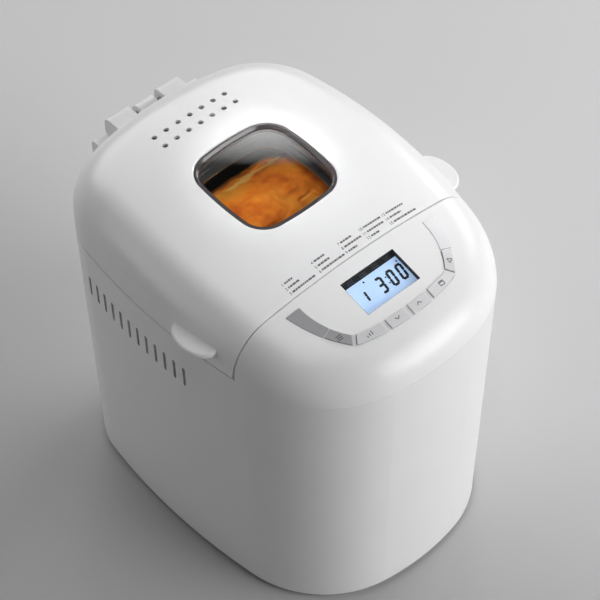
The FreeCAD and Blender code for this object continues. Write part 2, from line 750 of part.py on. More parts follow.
def chamber_liner():
    """Open-topped steel box whose top flange meets the underside of the deck."""
    top = RIM_PLATE_BOTTOM
    box_out = chamber_prism(LINER_SHEET, LINER_BOTTOM, top)
    flange = chamber_prism(CHAMBER_FLANGE, top - LINER_SHEET, top)
    liner = box_out.fuse(flange).cut(chamber_prism(0, CHAMBER_FLOOR, top))
    holes = [rod(HUB_RADIUS + FIT, 0, CHAMBER_FLOOR, 0, PAN_Y)]
    holes += [rod(SCREW_RADIUS + SCREW_FIT, 0, CHAMBER_FLOOR, place.x, place.y)
              for place in socket_screw_places()]
    for side in (1, -1):
        holes.append(rod_y(ELEMENT_RADIUS + FIT, FRONT_Y, PAN_Y, side * ELEMENT_LEG_SPREAD, ELEMENT_Z))
    holes.append(rod_y(SENSOR_RADIUS + FIT, FRONT_Y, PAN_Y, 0, SENSOR_Z))
    return liner.removeSplitter().cut(holes)


def element_reach():
    gap = ELEMENT_WALL_GAP + ELEMENT_RADIUS
    return CHAMBER_HALF_X - gap, CHAMBER_HALF_Y - gap


def heating_element():
    """Sheathed heater: one loop round the pan, with both ends out through the front wall."""
    half_x, half_y = element_reach()
    front, back = PAN_Y - half_y, PAN_Y + half_y
    end = PAN_Y - CHAMBER_HALF_Y - MOTOR_GAP + LINER_SHEET
    leg = ELEMENT_LEG_SPREAD
    big = [at(half_x, front), at(half_x, back), at(-half_x, back), at(-half_x, front)]
    loop = bent_rod([at(leg + ELEMENT_BEND, front)] + big + [at(-leg - ELEMENT_BEND, front)],
                    ELEMENT_CORNER, ELEMENT_RADIUS)
    start = at(leg + ELEMENT_BEND, front)
    tail = bent_rod([at(leg, end), at(leg, front), start + X * FIT], ELEMENT_BEND, ELEMENT_RADIUS)
    element = join([loop, tail, mirror_x(tail)])
    element.translate(at(0, 0, ELEMENT_Z))
    return element


def element_clips():
    """Three brackets on the chamber walls that hold the heater."""
    half_x, half_y = element_reach()
    reach = ELEMENT_RADIUS + CLIP_WEB
    side = box(half_x - reach, CHAMBER_HALF_X, PAN_Y - CLIP_WIDTH / 2, PAN_Y + CLIP_WIDTH / 2,
               ELEMENT_Z - reach, ELEMENT_Z + reach)
    side = side.cut(rod_y(ELEMENT_RADIUS + FIT, FRONT_Y, BACK_Y, half_x, ELEMENT_Z))
    back = box(-CLIP_WIDTH / 2, CLIP_WIDTH / 2, PAN_Y + half_y - reach, PAN_Y + CHAMBER_HALF_Y,
               ELEMENT_Z - reach, ELEMENT_Z + reach)
    back = back.cut(rod_x(ELEMENT_RADIUS + FIT, -HALF_WIDTH, HALF_WIDTH, PAN_Y + half_y, ELEMENT_Z))
    return Part.makeCompound([side, mirror_x(side), back])


def temperature_sensor():
    wall = PAN_Y - CHAMBER_HALF_Y
    probe = rod_y(SENSOR_RADIUS, wall - LINER_SHEET, wall + SENSOR_REACH, 0, SENSOR_Z)
    nut = rod_y(2 * SENSOR_RADIUS, wall - LINER_SHEET - SENSOR_RADIUS, wall - LINER_SHEET, 0, SENSOR_Z)
    return join([nut, probe])


# Bayonet socket and drive hub

def ring_arc(inner, outer, z0, z1, half_angle, turn):
    """Piece of a ring, centred on the angle turn, about the pan's axis."""
    wedge = Part.makeCylinder(outer, z1 - z0, at(0, 0, z0), Z, 2 * half_angle)
    wedge = wedge.cut(rod(inner, z0, z1))
    wedge.rotate(at(0, 0), Z, turn - half_angle)
    wedge.translate(at(0, PAN_Y))
    return wedge


def pan_socket():
    lug_top = SKIRT_BOTTOM + LUG_LIFT + LUG_HEIGHT
    lip_bottom = lug_top + FIT
    lip_top = lip_bottom + SOCKET_LIP
    flange = tube(SOCKET_REACH, SOCKET_INNER, CHAMBER_FLOOR, CHAMBER_FLOOR + SOCKET_FLANGE_THICK, 0, PAN_Y)
    wall = tube(SOCKET_OUTER, SOCKET_INNER, CHAMBER_FLOOR, lip_top, 0, PAN_Y)
    inner = SKIRT_RADIUS + FIT
    lips = [ring_arc(inner, SOCKET_OUTER, lip_bottom, lip_top, LIP_HALF_ANGLE, turn) for turn in LUG_TURNS]
    socket = join([flange, wall] + lips)
    return socket.cut([rod(SCREW_RADIUS + SCREW_FIT, 0, lip_top, place.x, place.y)
                       for place in socket_screw_places()])


def socket_screws():
    top = CHAMBER_FLOOR + SOCKET_FLANGE_THICK
    return Part.makeCompound([screw(SCREW_RADIUS, top - CHASSIS_BOTTOM, place.x, place.y, top)
                              for place in socket_screw_places()])


def drive_hub():
    flange = rod(SOCKET_REACH, CHASSIS_TOP, LINER_BOTTOM, 0, PAN_Y)
    barrel = rod(HUB_RADIUS, HUB_BOTTOM, HUB_TOP, 0, PAN_Y)
    hub = join([flange, barrel]).cut(rod(BUSH_RADIUS + PRESS, HUB_BOTTOM, HUB_TOP, 0, PAN_Y))
    return hub.cut([rod(SCREW_RADIUS + SCREW_FIT, 0, LINER_BOTTOM, place.x, place.y)
                    for place in socket_screw_places()])


def drive_bushes():
    bore = SHAFT_RADIUS + RUNNING
    return Part.makeCompound([tube(BUSH_RADIUS, bore, HUB_BOTTOM, HUB_BOTTOM + BUSH_LENGTH, 0, PAN_Y),
                              tube(BUSH_RADIUS, bore, HUB_TOP - BUSH_LENGTH, HUB_TOP, 0, PAN_Y)])


def drive_shaft():
    return rod(SHAFT_RADIUS, PULLEY_BOTTOM - NUT_HEIGHT - SHAFT_TAIL, DISC_TOP, 0, PAN_Y)


def drive_coupling():
    disc = tube(COUPLING_RADIUS, SHAFT_RADIUS + PRESS, DISC_BOTTOM, DISC_TOP, 0, PAN_Y)
    wings = [ring_arc(WING_INNER, COUPLING_RADIUS, DISC_BOTTOM, DISC_TOP + WING_HEIGHT, WING_HALF_ANGLE, turn)
             for turn in LUG_TURNS]
    return join([disc] + wings)


def grooved_pulley(radius, hub, bore, web, y):
    """Flanged wheel for the flat belt, with a thin web where it is large enough."""
    z0, z1 = PULLEY_BOTTOM, PULLEY_TOP
    rim = rod(radius, z0, z1, 0, y)
    flanges = [rod(radius + PULLEY_FLANGE, z0, z0 + PULLEY_FLANGE_THICK, 0, y),
               rod(radius + PULLEY_FLANGE, z1 - PULLEY_FLANGE_THICK, z1, 0, y)]
    wheel = join([rim] + flanges)
    if web:
        middle = (z0 + z1) / 2
        hollow = tube(radius - web, hub, z0, z1, 0, y)
        hollow = hollow.cut(rod(radius, middle - web / 2, middle + web / 2, 0, y))
        wheel = wheel.cut(hollow)
    return wheel.cut(rod(bore, z0, z1, 0, y))


def large_pulley():
    return grooved_pulley(PULLEY_RADIUS, PULLEY_HUB, SHAFT_RADIUS + PRESS, PULLEY_WEB, PAN_Y)


def pulley_nut():
    corner = NUT_ACROSS / math.sqrt(3)
    ring = [at(corner * math.cos(math.radians(60 * step)), PAN_Y + corner * math.sin(math.radians(60 * step)),
               PULLEY_BOTTOM - NUT_HEIGHT) for step in range(7)]
    nut = Part.Face(Part.makePolygon(ring)).extrude(at(0, 0, NUT_HEIGHT))
    return nut.cut(rod(SHAFT_RADIUS + PRESS, 0, PULLEY_BOTTOM, 0, PAN_Y))


def belt_prism(extra, z0, z1):
    """Solid round both pulleys, standing off their grooves by extra."""
    large, small = PULLEY_RADIUS + extra, MOTOR_PULLEY_RADIUS + extra
    slope = (PULLEY_RADIUS - MOTOR_PULLEY_RADIUS) / (PAN_Y - MOTOR_Y)
    normal = at(math.sqrt(1 - slope ** 2), -slope)
    on_large = at(0, PAN_Y, z0) + normal * large
    on_small = at(0, MOTOR_Y, z0) + normal * small
    edges = [arc(on_large, at(0, PAN_Y + large, z0), mirrored(on_large)),
             Part.makeLine(mirrored(on_large), mirrored(on_small)),
             arc(mirrored(on_small), at(0, MOTOR_Y - small, z0), on_small),
             Part.makeLine(on_small, on_large)]
    return Part.Face(Part.Wire(edges)).extrude(at(0, 0, z1 - z0))


def drive_belt():
    margin = PULLEY_FLANGE_THICK + FIT
    z0, z1 = PULLEY_BOTTOM + margin, PULLEY_TOP - margin
    return belt_prism(FIT + BELT_THICK, z0, z1).cut(belt_prism(FIT, z0, z1))


# Motor

def motor_top():
    return CHASSIS_TOP + MOTOR_HEIGHT


def motor_case():
    case = rod(MOTOR_RADIUS, CHASSIS_TOP, motor_top(), 0, MOTOR_Y)
    lugs, holes = [], []
    for place in motor_screw_places():
        lugs.append(rod(MOTOR_LUG_RADIUS, CHASSIS_TOP, CHASSIS_TOP + MOTOR_LUG_THICK, place.x, place.y))
        holes.append(rod(SCREW_RADIUS + SCREW_FIT, 0, motor_top(), place.x, place.y))
    cavity = rod(MOTOR_RADIUS - MOTOR_CASE_WALL, CHASSIS_TOP + MOTOR_END_WALL,
                 motor_top() - MOTOR_END_WALL, 0, MOTOR_Y)
    bore = rod(MOTOR_SHAFT_RADIUS + RUNNING, CHASSIS_TOP, motor_top(), 0, MOTOR_Y)
    return join([case] + lugs).cut([cavity, bore]).cut(holes)


def motor_stator():
    z0, z1 = CHASSIS_TOP + MOTOR_END_WALL, motor_top() - MOTOR_END_WALL
    outer = MOTOR_RADIUS - MOTOR_CASE_WALL - PRESS
    return tube(outer, outer - STATOR_THICK, z0, z1, 0, MOTOR_Y)


def motor_rotor():
    z0, z1 = CHASSIS_TOP + MOTOR_END_WALL + ROTOR_GAP, motor_top() - MOTOR_END_WALL - ROTOR_GAP
    return tube(ROTOR_RADIUS, MOTOR_SHAFT_RADIUS + PRESS, z0, z1, 0, MOTOR_Y)


def motor_shaft():
    return rod(MOTOR_SHAFT_RADIUS, PULLEY_BOTTOM, motor_top() + MOTOR_TAIL, 0, MOTOR_Y)


def motor_pulley():
    return grooved_pulley(MOTOR_PULLEY_RADIUS, 0, MOTOR_SHAFT_RADIUS + PRESS, 0, MOTOR_Y)


# Power board, on edge beside the motor

def power_board_frame():
    x0 = MOTOR_RADIUS + 2 * MOTOR_LUG_RADIUS + GUIDE_WIDTH
    y = PAN_Y - CHAMBER_HALF_Y - CHAMBER_FLANGE - GUIDE_DEPTH
    return x0, HALF_WIDTH - WALL - POWER_BOARD_SIDE_GAP, y


def power_board():
    x0, x1, y = power_board_frame()
    half = BOARD_THICK / 2
    return box(x0, x1, y - half, y + half, CHASSIS_TOP, CHASSIS_TOP + POWER_BOARD_HEIGHT)


def board_guides():
    """Two slotted uprights on the chassis that hold the edges of the power board."""
    x0, x1, y = power_board_frame()
    slot = box(x0 - FIT, x1 + FIT, y - BOARD_THICK / 2 - FIT, y + BOARD_THICK / 2 + FIT, 0, CROWN_Z)
    height = CHASSIS_TOP + POWER_BOARD_HEIGHT / 2
    guides = [box(edge - GUIDE_WIDTH / 2, edge + GUIDE_WIDTH / 2, y - GUIDE_DEPTH / 2, y + GUIDE_DEPTH / 2,
                  CHASSIS_TOP, height).cut(slot) for edge in (x0, x1)]
    return Part.makeCompound(guides)


def power_components():
    """Relay, transformer and capacitor on the front of the power board."""
    x0, x1, y = power_board_frame()
    face = y - BOARD_THICK / 2
    left, right = x0 + GUIDE_WIDTH, x1 - GUIDE_WIDTH
    width = right - left
    core = width * TRANSFORMER_SHARE
    low = CHASSIS_TOP + RELAY
    high = low + RELAY + TRANSFORMER_ABOVE
    relay = box(left, left + width * RELAY_SHARE, face - RELAY, face, low, low + RELAY)
    transformer = box(left, left + core, face - RELAY, face, high, high + core)
    capacitor = rod_y(CAPACITOR_RADIUS, face - RELAY, face, right - CAPACITOR_RADIUS, low + CAPACITOR_RADIUS)
    return Part.makeCompound([relay, transformer, capacitor])


# Control panel, laid out on a plane that touches the dome at the middle of the display

PANEL_TILT = math.degrees(math.asin((CROWN_Y - DISPLAY_Y) / CROWN_ALONG))
PANEL_PLACE = FreeCAD.Placement(at(0, DISPLAY_Y, crown_height(DISPLAY_Y)), FreeCAD.Rotation(X, PANEL_TILT))
PANEL_SPAN = 2 * BOARD_DEPTH


def on_panel(shape):
    placed = shape.copy()
    placed.Placement = PANEL_PLACE.multiply(placed.Placement)
    return placed


def panel_block(half_x, half_y):
    return on_panel(box(-half_x, half_x, -half_y, half_y, -PANEL_SPAN, PANEL_SPAN))


def post_bar(x, y, turn, width):
    """Upright bar across the strip, where a post of the deck parts two of its pieces."""
    length = 2 * STRIP_OUTER_CORNER
    bar = box(-width / 2, width / 2, -length / 2, length / 2, -PANEL_SPAN, PANEL_SPAN)
    bar.rotate(at(0, 0), Z, turn)
    bar.translate(at(x, y))
    return bar


def strip_posts(gap):
    """The seven bars that part the strip into two trims and six buttons, widened by gap each way."""
    low = -(STRIP_OUTER_LOW + STRIP_INNER_LOW) / 2
    bars = [post_bar(step * BUTTON_PITCH, low, 0, BUTTON_POST + 2 * gap) for step in (-1, 0, 1)]
    for sign in (1, -1):
        bars.append(post_bar(sign * CORNER_POST_X, -CORNER_POST_LOW, sign * CORNER_POST_TURN,
                             CORNER_POST + 2 * gap))
        bars.append(post_bar(sign * TRIM_LINE_X, -STRIP_INNER_CORNER, sign * TRIM_LINE_TURN,
                             TRIM_LINE + 2 * gap))
    return bars


def strip_pieces(edge_gap, post_gap):
    """Eight upright prisms along the strip, left to right, drawn in at the edges and the posts."""
    outer = Part.Face(oval_wire(STRIP_OUTER, edge_gap, -PANEL_SPAN))
    inner = Part.Face(oval_wire(STRIP_INNER, -edge_gap, -PANEL_SPAN))
    band = outer.cut(inner).extrude(at(0, 0, 2 * PANEL_SPAN))
    wide = 2 * STRIP_OUTER_HALF
    band = band.common(box(-wide, wide, -wide, STRIP_TOP - edge_gap, -PANEL_SPAN, PANEL_SPAN))
    pieces = band.cut(strip_posts(post_gap)).Solids
    loop_top = 2 * STRIP_TOP
    return sorted(pieces, key=lambda piece: math.atan2(piece.CenterOfMass.x, loop_top - piece.CenterOfMass.y))


def top_deck():
    """Control panel housing with the rim that surrounds the chamber under the lid."""
    hollow = top_form(PANEL_WALL).common(before_seam(PANEL_WALL, BELT_Z))
    panel = top_form(0).common(before_seam(0, BELT_Z))
    seam = [edge for edge in edges_at(panel, "Y", SEAM_Y - LID_GAP) if edge.BoundBox.ZMax > BELT_Z + SAME]
    panel = panel.makeFillet(EDGE_ROUND, seam).cut(hollow)
    edge = WALL + FIT
    rim = oval_prism(CASING, edge, RIM_PLATE_BOTTOM, RIM_PLATE_TOP)
    lip = oval_prism(CASING, edge, RIM_PLATE_BOTTOM, BELT_Z + PANEL_WALL)
    lip = lip.cut(oval_prism(CASING, edge + PANEL_WALL, RIM_PLATE_BOTTOM, BELT_Z + PANEL_WALL))
    lip = lip.common(before_seam(0, RIM_PLATE_BOTTOM))
    foot = oval_prism(CASING, edge, RIM_PLATE_BOTTOM, BELT_Z + PANEL_WALL)
    foot = foot.common(before_seam(0, 0)).cut(before_seam(PANEL_WALL, 0))
    deck = join([panel, rim, lip, foot])
    mouth = chamber_prism(0, RIM_PLATE_BOTTOM, RIM_PLATE_TOP)
    under_panel = oval_prism(CASING, edge + 2 * PANEL_WALL, RIM_PLATE_BOTTOM, RIM_PLATE_TOP)
    under_panel = under_panel.common(before_seam(2 * PANEL_WALL, 0))
    deck = deck.cut([mouth, under_panel])
    return cut_panel(join([deck] + board_bosses()))


def board_boss_places():
    x = DISPLAY_HALF_X + LCD_MARGIN + 3 * BOARD_BOSS_RADIUS
    ys = (STRIP_TOP - 2 * BOARD_BOSS_RADIUS, -DISPLAY_HALF_Y / 2)
    return [at(side * x, y) for y in ys for side in (1, -1)]


def board_bosses():
    bosses = []
    for place in board_boss_places():
        boss = on_panel(rod(BOARD_BOSS_RADIUS, -BOARD_DEPTH, 0, place.x, place.y))
        bosses.append(boss.common(crown(PANEL_WALL / 2)))
    return bosses


def cut_panel(deck):
    """Openings for the display and the buttons, and shallow beds for the two trims."""
    deck = deck.cut(panel_block(DISPLAY_HALF_X, DISPLAY_HALF_Y))
    pieces = strip_pieces(0, 0)
    deck = deck.cut([on_panel(piece) for piece in pieces[1:-1]])
    bed = crown(TRIM_THICK)
    deck = deck.cut([on_panel(piece).cut(bed) for piece in (pieces[0], pieces[-1])])
    pilots = [on_panel(rod(SCREW_RADIUS + PRESS, -PANEL_SPAN, -BOARD_DEPTH / 2, place.x, place.y))
              for place in board_boss_places()]
    return deck.cut(pilots)


def strip_trims():
    pieces = strip_pieces(FIT / 2, FIT / 2)
    trims = [slab(on_panel(piece), -TRIM_PROUD, TRIM_THICK) for piece in (pieces[0], pieces[-1])]
    return Part.makeCompound([trim.Solids[0] for trim in trims])


def display_lens():
    plug = panel_block(DISPLAY_HALF_X - FIT / 2, DISPLAY_HALF_Y - FIT / 2)
    flange = panel_block(DISPLAY_HALF_X + LENS_FLANGE, DISPLAY_HALF_Y + LENS_FLANGE)
    top = PANEL_WALL + FIT / 2
    bottom = top + LENS_FLANGE_THICK
    return join([slab(plug, 0, bottom), slab(flange, top, bottom)])


def lcd_top():
    return -(PANEL_WALL + LENS_FLANGE_THICK + LCD_BELOW_LENS)


def lcd_module():
    half_x, half_y = DISPLAY_HALF_X + LCD_MARGIN, DISPLAY_HALF_Y + LCD_MARGIN
    return on_panel(box(-half_x, half_x, -half_y, half_y, -BOARD_DEPTH, lcd_top()))


def control_board():
    bottom = -BOARD_DEPTH - BOARD_THICK
    board = Part.Face(oval_wire(STRIP_OUTER, TRIM_LINE, bottom)).extrude(at(0, 0, BOARD_THICK))
    wide = 2 * STRIP_OUTER_HALF
    board = board.common(box(-wide, wide, -wide, STRIP_TOP, bottom, -BOARD_DEPTH))
    for place in board_boss_places():
        board = board.cut(rod(SCREW_RADIUS + SCREW_FIT, bottom, 0, place.x, place.y))
    return on_panel(board)


def board_screws():
    bottom = -BOARD_DEPTH - BOARD_THICK
    length = BOARD_THICK + BOARD_DEPTH / 3
    return Part.makeCompound([on_panel(screw(SCREW_RADIUS, length, place.x, place.y, bottom, -1))
                              for place in board_boss_places()])


def switch_places():
    return [at(piece.CenterOfMass.x, piece.CenterOfMass.y) for piece in strip_pieces(0, 0)[1:-1]]


def tact_switches():
    half = SWITCH_SIZE / 2
    return Part.makeCompound([on_panel(box(place.x - half, place.x + half, place.y - half, place.y + half,
                                           -BOARD_DEPTH, -BOARD_DEPTH + SWITCH_HEIGHT))
                              for place in switch_places()])


def buttons():
    """Six key tops: each fills its opening, with a flange under the deck and a stem to its switch."""
    caps = strip_pieces(SLIDE, SLIDE)[1:-1]
    flanges = strip_pieces(-BUTTON_FLANGE, SLIDE)[1:-1]
    flange_top = PANEL_WALL + SLIDE
    flange_bottom = flange_top + BUTTON_FLANGE_THICK
    stem_end = -BOARD_DEPTH + SWITCH_HEIGHT + BUTTON_TRAVEL + SLIDE
    made = []
    for cap, flange, place in zip(caps, flanges, switch_places()):
        body = slab(on_panel(cap), -BUTTON_PROUD, flange_bottom)
        face = max(body.Faces, key=lambda side: side.CenterOfMass.z)
        body = body.makeFillet(BUTTON_ROUND, face.Edges)
        foot = slab(on_panel(flange), flange_top, flange_bottom)
        stem = on_panel(rod(STEM_RADIUS, stem_end, -PANEL_WALL, place.x, place.y))
        made.append(join([body, foot, stem]))
    return made


# Lid

def lid_tabs():
    """Half-oval finger tabs, fixed to the sides of the lid."""
    y, z = SEAM_Y + TAB_FROM_SEAM, BELT_Z + TAB_ABOVE_BELT
    wall_x = HALF_WIDTH - SIDE_RADIUS + math.sqrt(SIDE_RADIUS ** 2 - (y - CASING["widest"]) ** 2)
    outline = Part.Ellipse(at(wall_x, y + TAB_HALF, z), at(wall_x + TAB_REACH, y, z), at(wall_x, y, z))
    plate = Part.Face(Part.Wire(outline.toShape())).extrude(Z * TAB_THICK)
    rims = edges_at(plate, "Z", z) + edges_at(plate, "Z", z + TAB_THICK)
    tab = largest(plate.makeFillet(TAB_ROUND, rims).cut(top_form(0)))
    return Part.makeCompound([tab, mirror_x(tab)])


def hinge_blocks(inner):
    """Two rounded blocks at the back of the lid that turn on the pin."""
    reach = BACK_Y + HINGE_REACH
    block = box(BLOCK_FROM_MIDDLE, BLOCK_FROM_MIDDLE + BLOCK_LENGTH, BACK_Y - ROLL, reach,
                HINGE_Z - BLOCK_DROP, HINGE_Z + BLOCK_RISE)
    ridges = [edge for edge in edges_at(block, "Y", reach) if edge.Length > BLOCK_RISE + BLOCK_DROP]
    block = largest(block.makeFillet(BLOCK_ROUND, ridges).cut(inner))
    return [block, mirror_x(block)]


def knuckle_room(gap, inside):
    """Round hollow in the back of the lid for the knuckle, or with a larger gap the wall behind it."""
    half = KNUCKLE_HALF + gap
    return rod_x(KNUCKLE_RADIUS + gap, -half, half, HINGE_Y, HINGE_Z).common(inside)


def lid_blank():
    """Outside of the lid as a solid, with its front, its lower edge and its window edge rounded."""
    blank = top_form(0).common(behind_seam(0, LID_BOTTOM))
    curved = [edge for edge in blank.Edges if edge.Curve.TypeId != "Part::GeomLine"]
    front = [edge for edge in curved if edge.BoundBox.YMax < SEAM_Y + 2 * LID_GAP]
    low = [edge for edge in curved if edge.BoundBox.ZMax < LID_BOTTOM + SAME]
    blank = blank.makeFillet(EDGE_ROUND, front + low)
    blank = blank.cut(oval_prism(WINDOW, 0, BELT_Z, CROWN_Z + ROLL))
    reach = WINDOW_HALF + SAME
    rim = [edge for edge in blank.Edges if edge.BoundBox.ZMin > LID_LINER_TOP
           and edge.BoundBox.XMax < reach and edge.BoundBox.XMin > -reach
           and edge.BoundBox.YMax < WINDOW_Y + reach and edge.BoundBox.YMin > WINDOW_Y - reach]
    return blank.makeFillet(WINDOW_EDGE, rim)


def steam_places():
    first = -(STEAM_COUNT - 1) / 2 * STEAM_PITCH_X
    middle = BACK_Y - STEAM_FROM_BACK
    return [at(first + index * STEAM_PITCH_X, middle + row * STEAM_PITCH_Y / 2)
            for row in (1, -1) for index in range(STEAM_COUNT)]


def lid_shell():
    blank = lid_blank()
    inner = top_form(WALL).common(behind_seam(WALL, BELT_Z))
    shell = join([blank.cut(inner), knuckle_room(LID_GAP + WALL, inner)] + hinge_blocks(inner))
    cuts = [knuckle_room(LID_GAP, blank)]
    cuts += [rod(STEAM_RADIUS, HINGE_Z, CROWN_Z + ROLL, place.x, place.y) for place in steam_places()]
    bore = rod_x(HINGE_PIN_RADIUS + RUNNING, BLOCK_FROM_MIDDLE, BLOCK_FROM_MIDDLE + HINGE_PIN_GRIP + FIT,
                 HINGE_Y, HINGE_Z)
    return shell.cut(cuts + [bore, mirror_x(bore)])


def lid_plan(inset, setback, z0, z1):
    return oval_prism(CASING, inset, z0, z1).common(behind_seam(setback, z0))


def lid_liner():
    """Dished steel plate that closes the lid from below and leaves room over the pan."""
    sheet = LINER_SHEET
    low = LID_BOTTOM + sheet
    edge = WALL + FIT
    recess = LID_RECESS_MARGIN
    flange = lid_plan(edge, edge, low, low + sheet)
    dish = chamber_prism(recess + sheet, low, LID_LINER_TOP)
    liner = flange.fuse(dish).cut(chamber_prism(recess, low, LID_LINER_TOP - sheet))
    holes = [oval_prism(WINDOW, WINDOW_RIM, low, CROWN_Z)]
    holes += [rod(STEAM_RADIUS, low, CROWN_Z, place.x, place.y) for place in steam_places()]
    return liner.cut(holes).removeSplitter()


def lid_seal():
    """Soft ring under the lid that meets the rim of the chamber."""
    z0, z1 = RIM_PLATE_TOP + FIT, LID_BOTTOM + LINER_SHEET
    inner = LID_RECESS_MARGIN + LINER_SHEET
    return chamber_prism(inner + SEAL_WIDTH, z0, z1).cut(chamber_prism(inner, z0, z1))


def window_frame():
    """Dark ring whose inner face slopes down to the glass, with a wider ring behind the lid."""
    ring = oval_prism(WINDOW, FIT / 2, BELT_Z, CROWN_Z + ROLL)
    opening = oval_prism(WINDOW, WINDOW_RIM, BELT_Z, CROWN_Z + ROLL)
    back_ring = oval_prism(WINDOW, -WINDOW_RIM, BELT_Z, CROWN_Z + ROLL)
    under = WALL + FIT / 2
    depth = GLASS_RECESS + GLASS + WALL
    ring = slab(ring.cut(opening), RING_RECESS, depth)
    top = max(ring.Faces, key=lambda face: face.CenterOfMass.z)
    inner_edge = min(top.Wires, key=lambda wire: wire.Length).Edges
    ring = ring.makeChamfer(RING_SLOPE, WINDOW_RIM - FIT / 2 - RING_LAND, inner_edge)
    frame = join([ring, slab(back_ring.cut(opening), under, depth)])
    return frame.cut(slab(glass_prism(-FIT / 2), GLASS_RECESS, GLASS_RECESS + GLASS + FIT / 2))


def glass_prism(inset):
    return oval_prism(WINDOW, WINDOW_RIM / 2 + inset, BELT_Z, CROWN_Z + ROLL)


def window_glass():
    return slab(glass_prism(0), GLASS_RECESS + FIT / 2, GLASS_RECESS + GLASS)


def inner_glass():
    """Flat pane on top of the lid liner, over its window opening."""
    return oval_prism(WINDOW, WINDOW_RIM - INNER_GLASS_LAP, LID_LINER_TOP, LID_LINER_TOP + GLASS)


# Bread pan, its handle and the paddle

def pan_form(inset, z0, z1):
    """Tapered inside or outside of the pan."""
    corner = PAN_CORNER - inset
    low = round_box(PAN_HALF_X - PAN_DRAFT - inset, PAN_HALF_Y - PAN_DRAFT - inset, corner, z0, PAN_Y)
    high = round_box(PAN_HALF_X - inset, PAN_HALF_Y - inset, corner, z1, PAN_Y)
    return Part.makeLoft([low, high], True, True)


def bread_pan():
    outside = pan_form(0, PAN_FLOOR, PAN_RIM)
    lip = round_prism(PAN_HALF_X + PAN_LIP, PAN_HALF_Y + PAN_LIP, PAN_CORNER + PAN_LIP,
                      PAN_RIM - PAN_LIP_HEIGHT, PAN_RIM, PAN_Y)
    pan = outside.fuse(lip).cut(pan_form(PAN_WALL, PAN_FLOOR + PAN_WALL, PAN_RIM))
    return pan.cut(rod(PAN_BUSH_RADIUS + PRESS, PAN_FLOOR, PAN_FLOOR + PAN_WALL, 0, PAN_Y)).removeSplitter()


def pan_base():
    skirt = tube(SKIRT_RADIUS, SKIRT_RADIUS - SKIRT_WALL, SKIRT_BOTTOM, PAN_FLOOR, 0, PAN_Y)
    z0 = SKIRT_BOTTOM + LUG_LIFT
    inner = SKIRT_RADIUS - SKIRT_WALL / 2
    lugs = [ring_arc(inner, SKIRT_RADIUS + LUG_REACH, z0, z0 + LUG_HEIGHT, LUG_HALF_ANGLE, turn)
            for turn in LUG_TURNS]
    return join([skirt] + lugs)


def pan_ears():
    """Riveted side plates with the pivot pins of the handle."""
    outer = PAN_HALF_X + EAR_THICK
    z_top = PAN_RIM - PAN_LIP_HEIGHT
    half = EAR_WIDTH / 2
    plate = box(PAN_HALF_X - PAN_DRAFT, outer, PAN_Y - half, PAN_Y + half, z_top - EAR_DROP, z_top)
    plate = plate.cut(pan_form(0, PAN_FLOOR, PAN_RIM))
    pin_end = BAIL_X + EYE_HALF + FIT
    pin = rod_x(PIVOT_RADIUS, PAN_HALF_X + EAR_THICK / 2, pin_end, PAN_Y, PIVOT_Z)
    head = rod_x(PIVOT_HEAD_RADIUS, pin_end, pin_end + PIVOT_HEAD, PAN_Y, PIVOT_Z)
    ear = join([plate, pin, head])
    return Part.makeCompound([ear, mirror_x(ear)])


def pan_handle():
    """Wire bail, folded back level with its pivots, just outside the rim."""
    y = PAN_Y + BAIL_ARM
    points = [at(BAIL_X, PAN_Y, PIVOT_Z), at(BAIL_X, y, PIVOT_Z),
              at(-BAIL_X, y, PIVOT_Z), at(-BAIL_X, PAN_Y, PIVOT_Z)]
    bail = bent_rod(points, BAIL_BEND, BAIL_WIRE)
    eye = rod_x(BAIL_EYE, BAIL_X - EYE_HALF, BAIL_X + EYE_HALF, PAN_Y, PIVOT_Z)
    bore = rod_x(PIVOT_RADIUS + RUNNING, -HALF_WIDTH, HALF_WIDTH, PAN_Y, PIVOT_Z)
    return join([bail, eye, mirror_x(eye)]).cut(bore)


def pan_bush():
    flange_bottom = PAN_FLOOR - PAN_BUSH_FLANGE_THICK
    body = rod(PAN_BUSH_RADIUS, flange_bottom, PAN_FLOOR + PAN_WALL + PAN_BUSH_RISE, 0, PAN_Y)
    flange = rod(PAN_BUSH_FLANGE, flange_bottom, PAN_FLOOR, 0, PAN_Y)
    return join([body, flange]).cut(rod(SHAFT_RADIUS + RUNNING, 0, PAN_RIM, 0, PAN_Y))


def pan_shaft():
    bottom = DISC_TOP + DOG_CLEAR
    return rod(SHAFT_RADIUS, bottom, paddle_bottom() + PADDLE_HEIGHT - PADDLE_BLADE, 0, PAN_Y)


def pan_coupling():
    """Cross bar under the pan that the wings of the drive coupling push round."""
    z0 = DISC_TOP + DOG_CLEAR
    z1 = PAN_FLOOR - PAN_BUSH_FLANGE_THICK - DOG_CLEAR
    reach = COUPLING_RADIUS - DOG_CLEAR
    half = DOG_WIDTH / 2
    bar = box(-half, half, PAN_Y - reach, PAN_Y + reach, z0, z1)
    hub = rod(WING_INNER - DOG_CLEAR, z0, z1, 0, PAN_Y)
    return join([bar, hub]).cut(rod(SHAFT_RADIUS + PRESS, z0, z1, 0, PAN_Y))


def paddle_bottom():
    return PAN_FLOOR + PAN_WALL + PAN_BUSH_RISE + PADDLE_LIFT


def kneading_paddle():
    z0 = paddle_bottom()
    z1 = z0 + PADDLE_HEIGHT
    hub = rod(PADDLE_HUB, z0, z1, 0, PAN_Y)
    half = PADDLE_BLADE / 2
    blade = box(0, PADDLE_LENGTH, PAN_Y - half, PAN_Y + half, z0, z1 - PADDLE_BLADE)
    bore = rod(SHAFT_RADIUS + PRESS, z0, z1 - PADDLE_BLADE + PRESS, 0, PAN_Y)
    return join([hub, blade]).cut(bore)


BUTTON_NAMES = ["menu_button", "loaf_size_button", "time_down_button",
                "time_up_button", "crust_button", "start_button"]

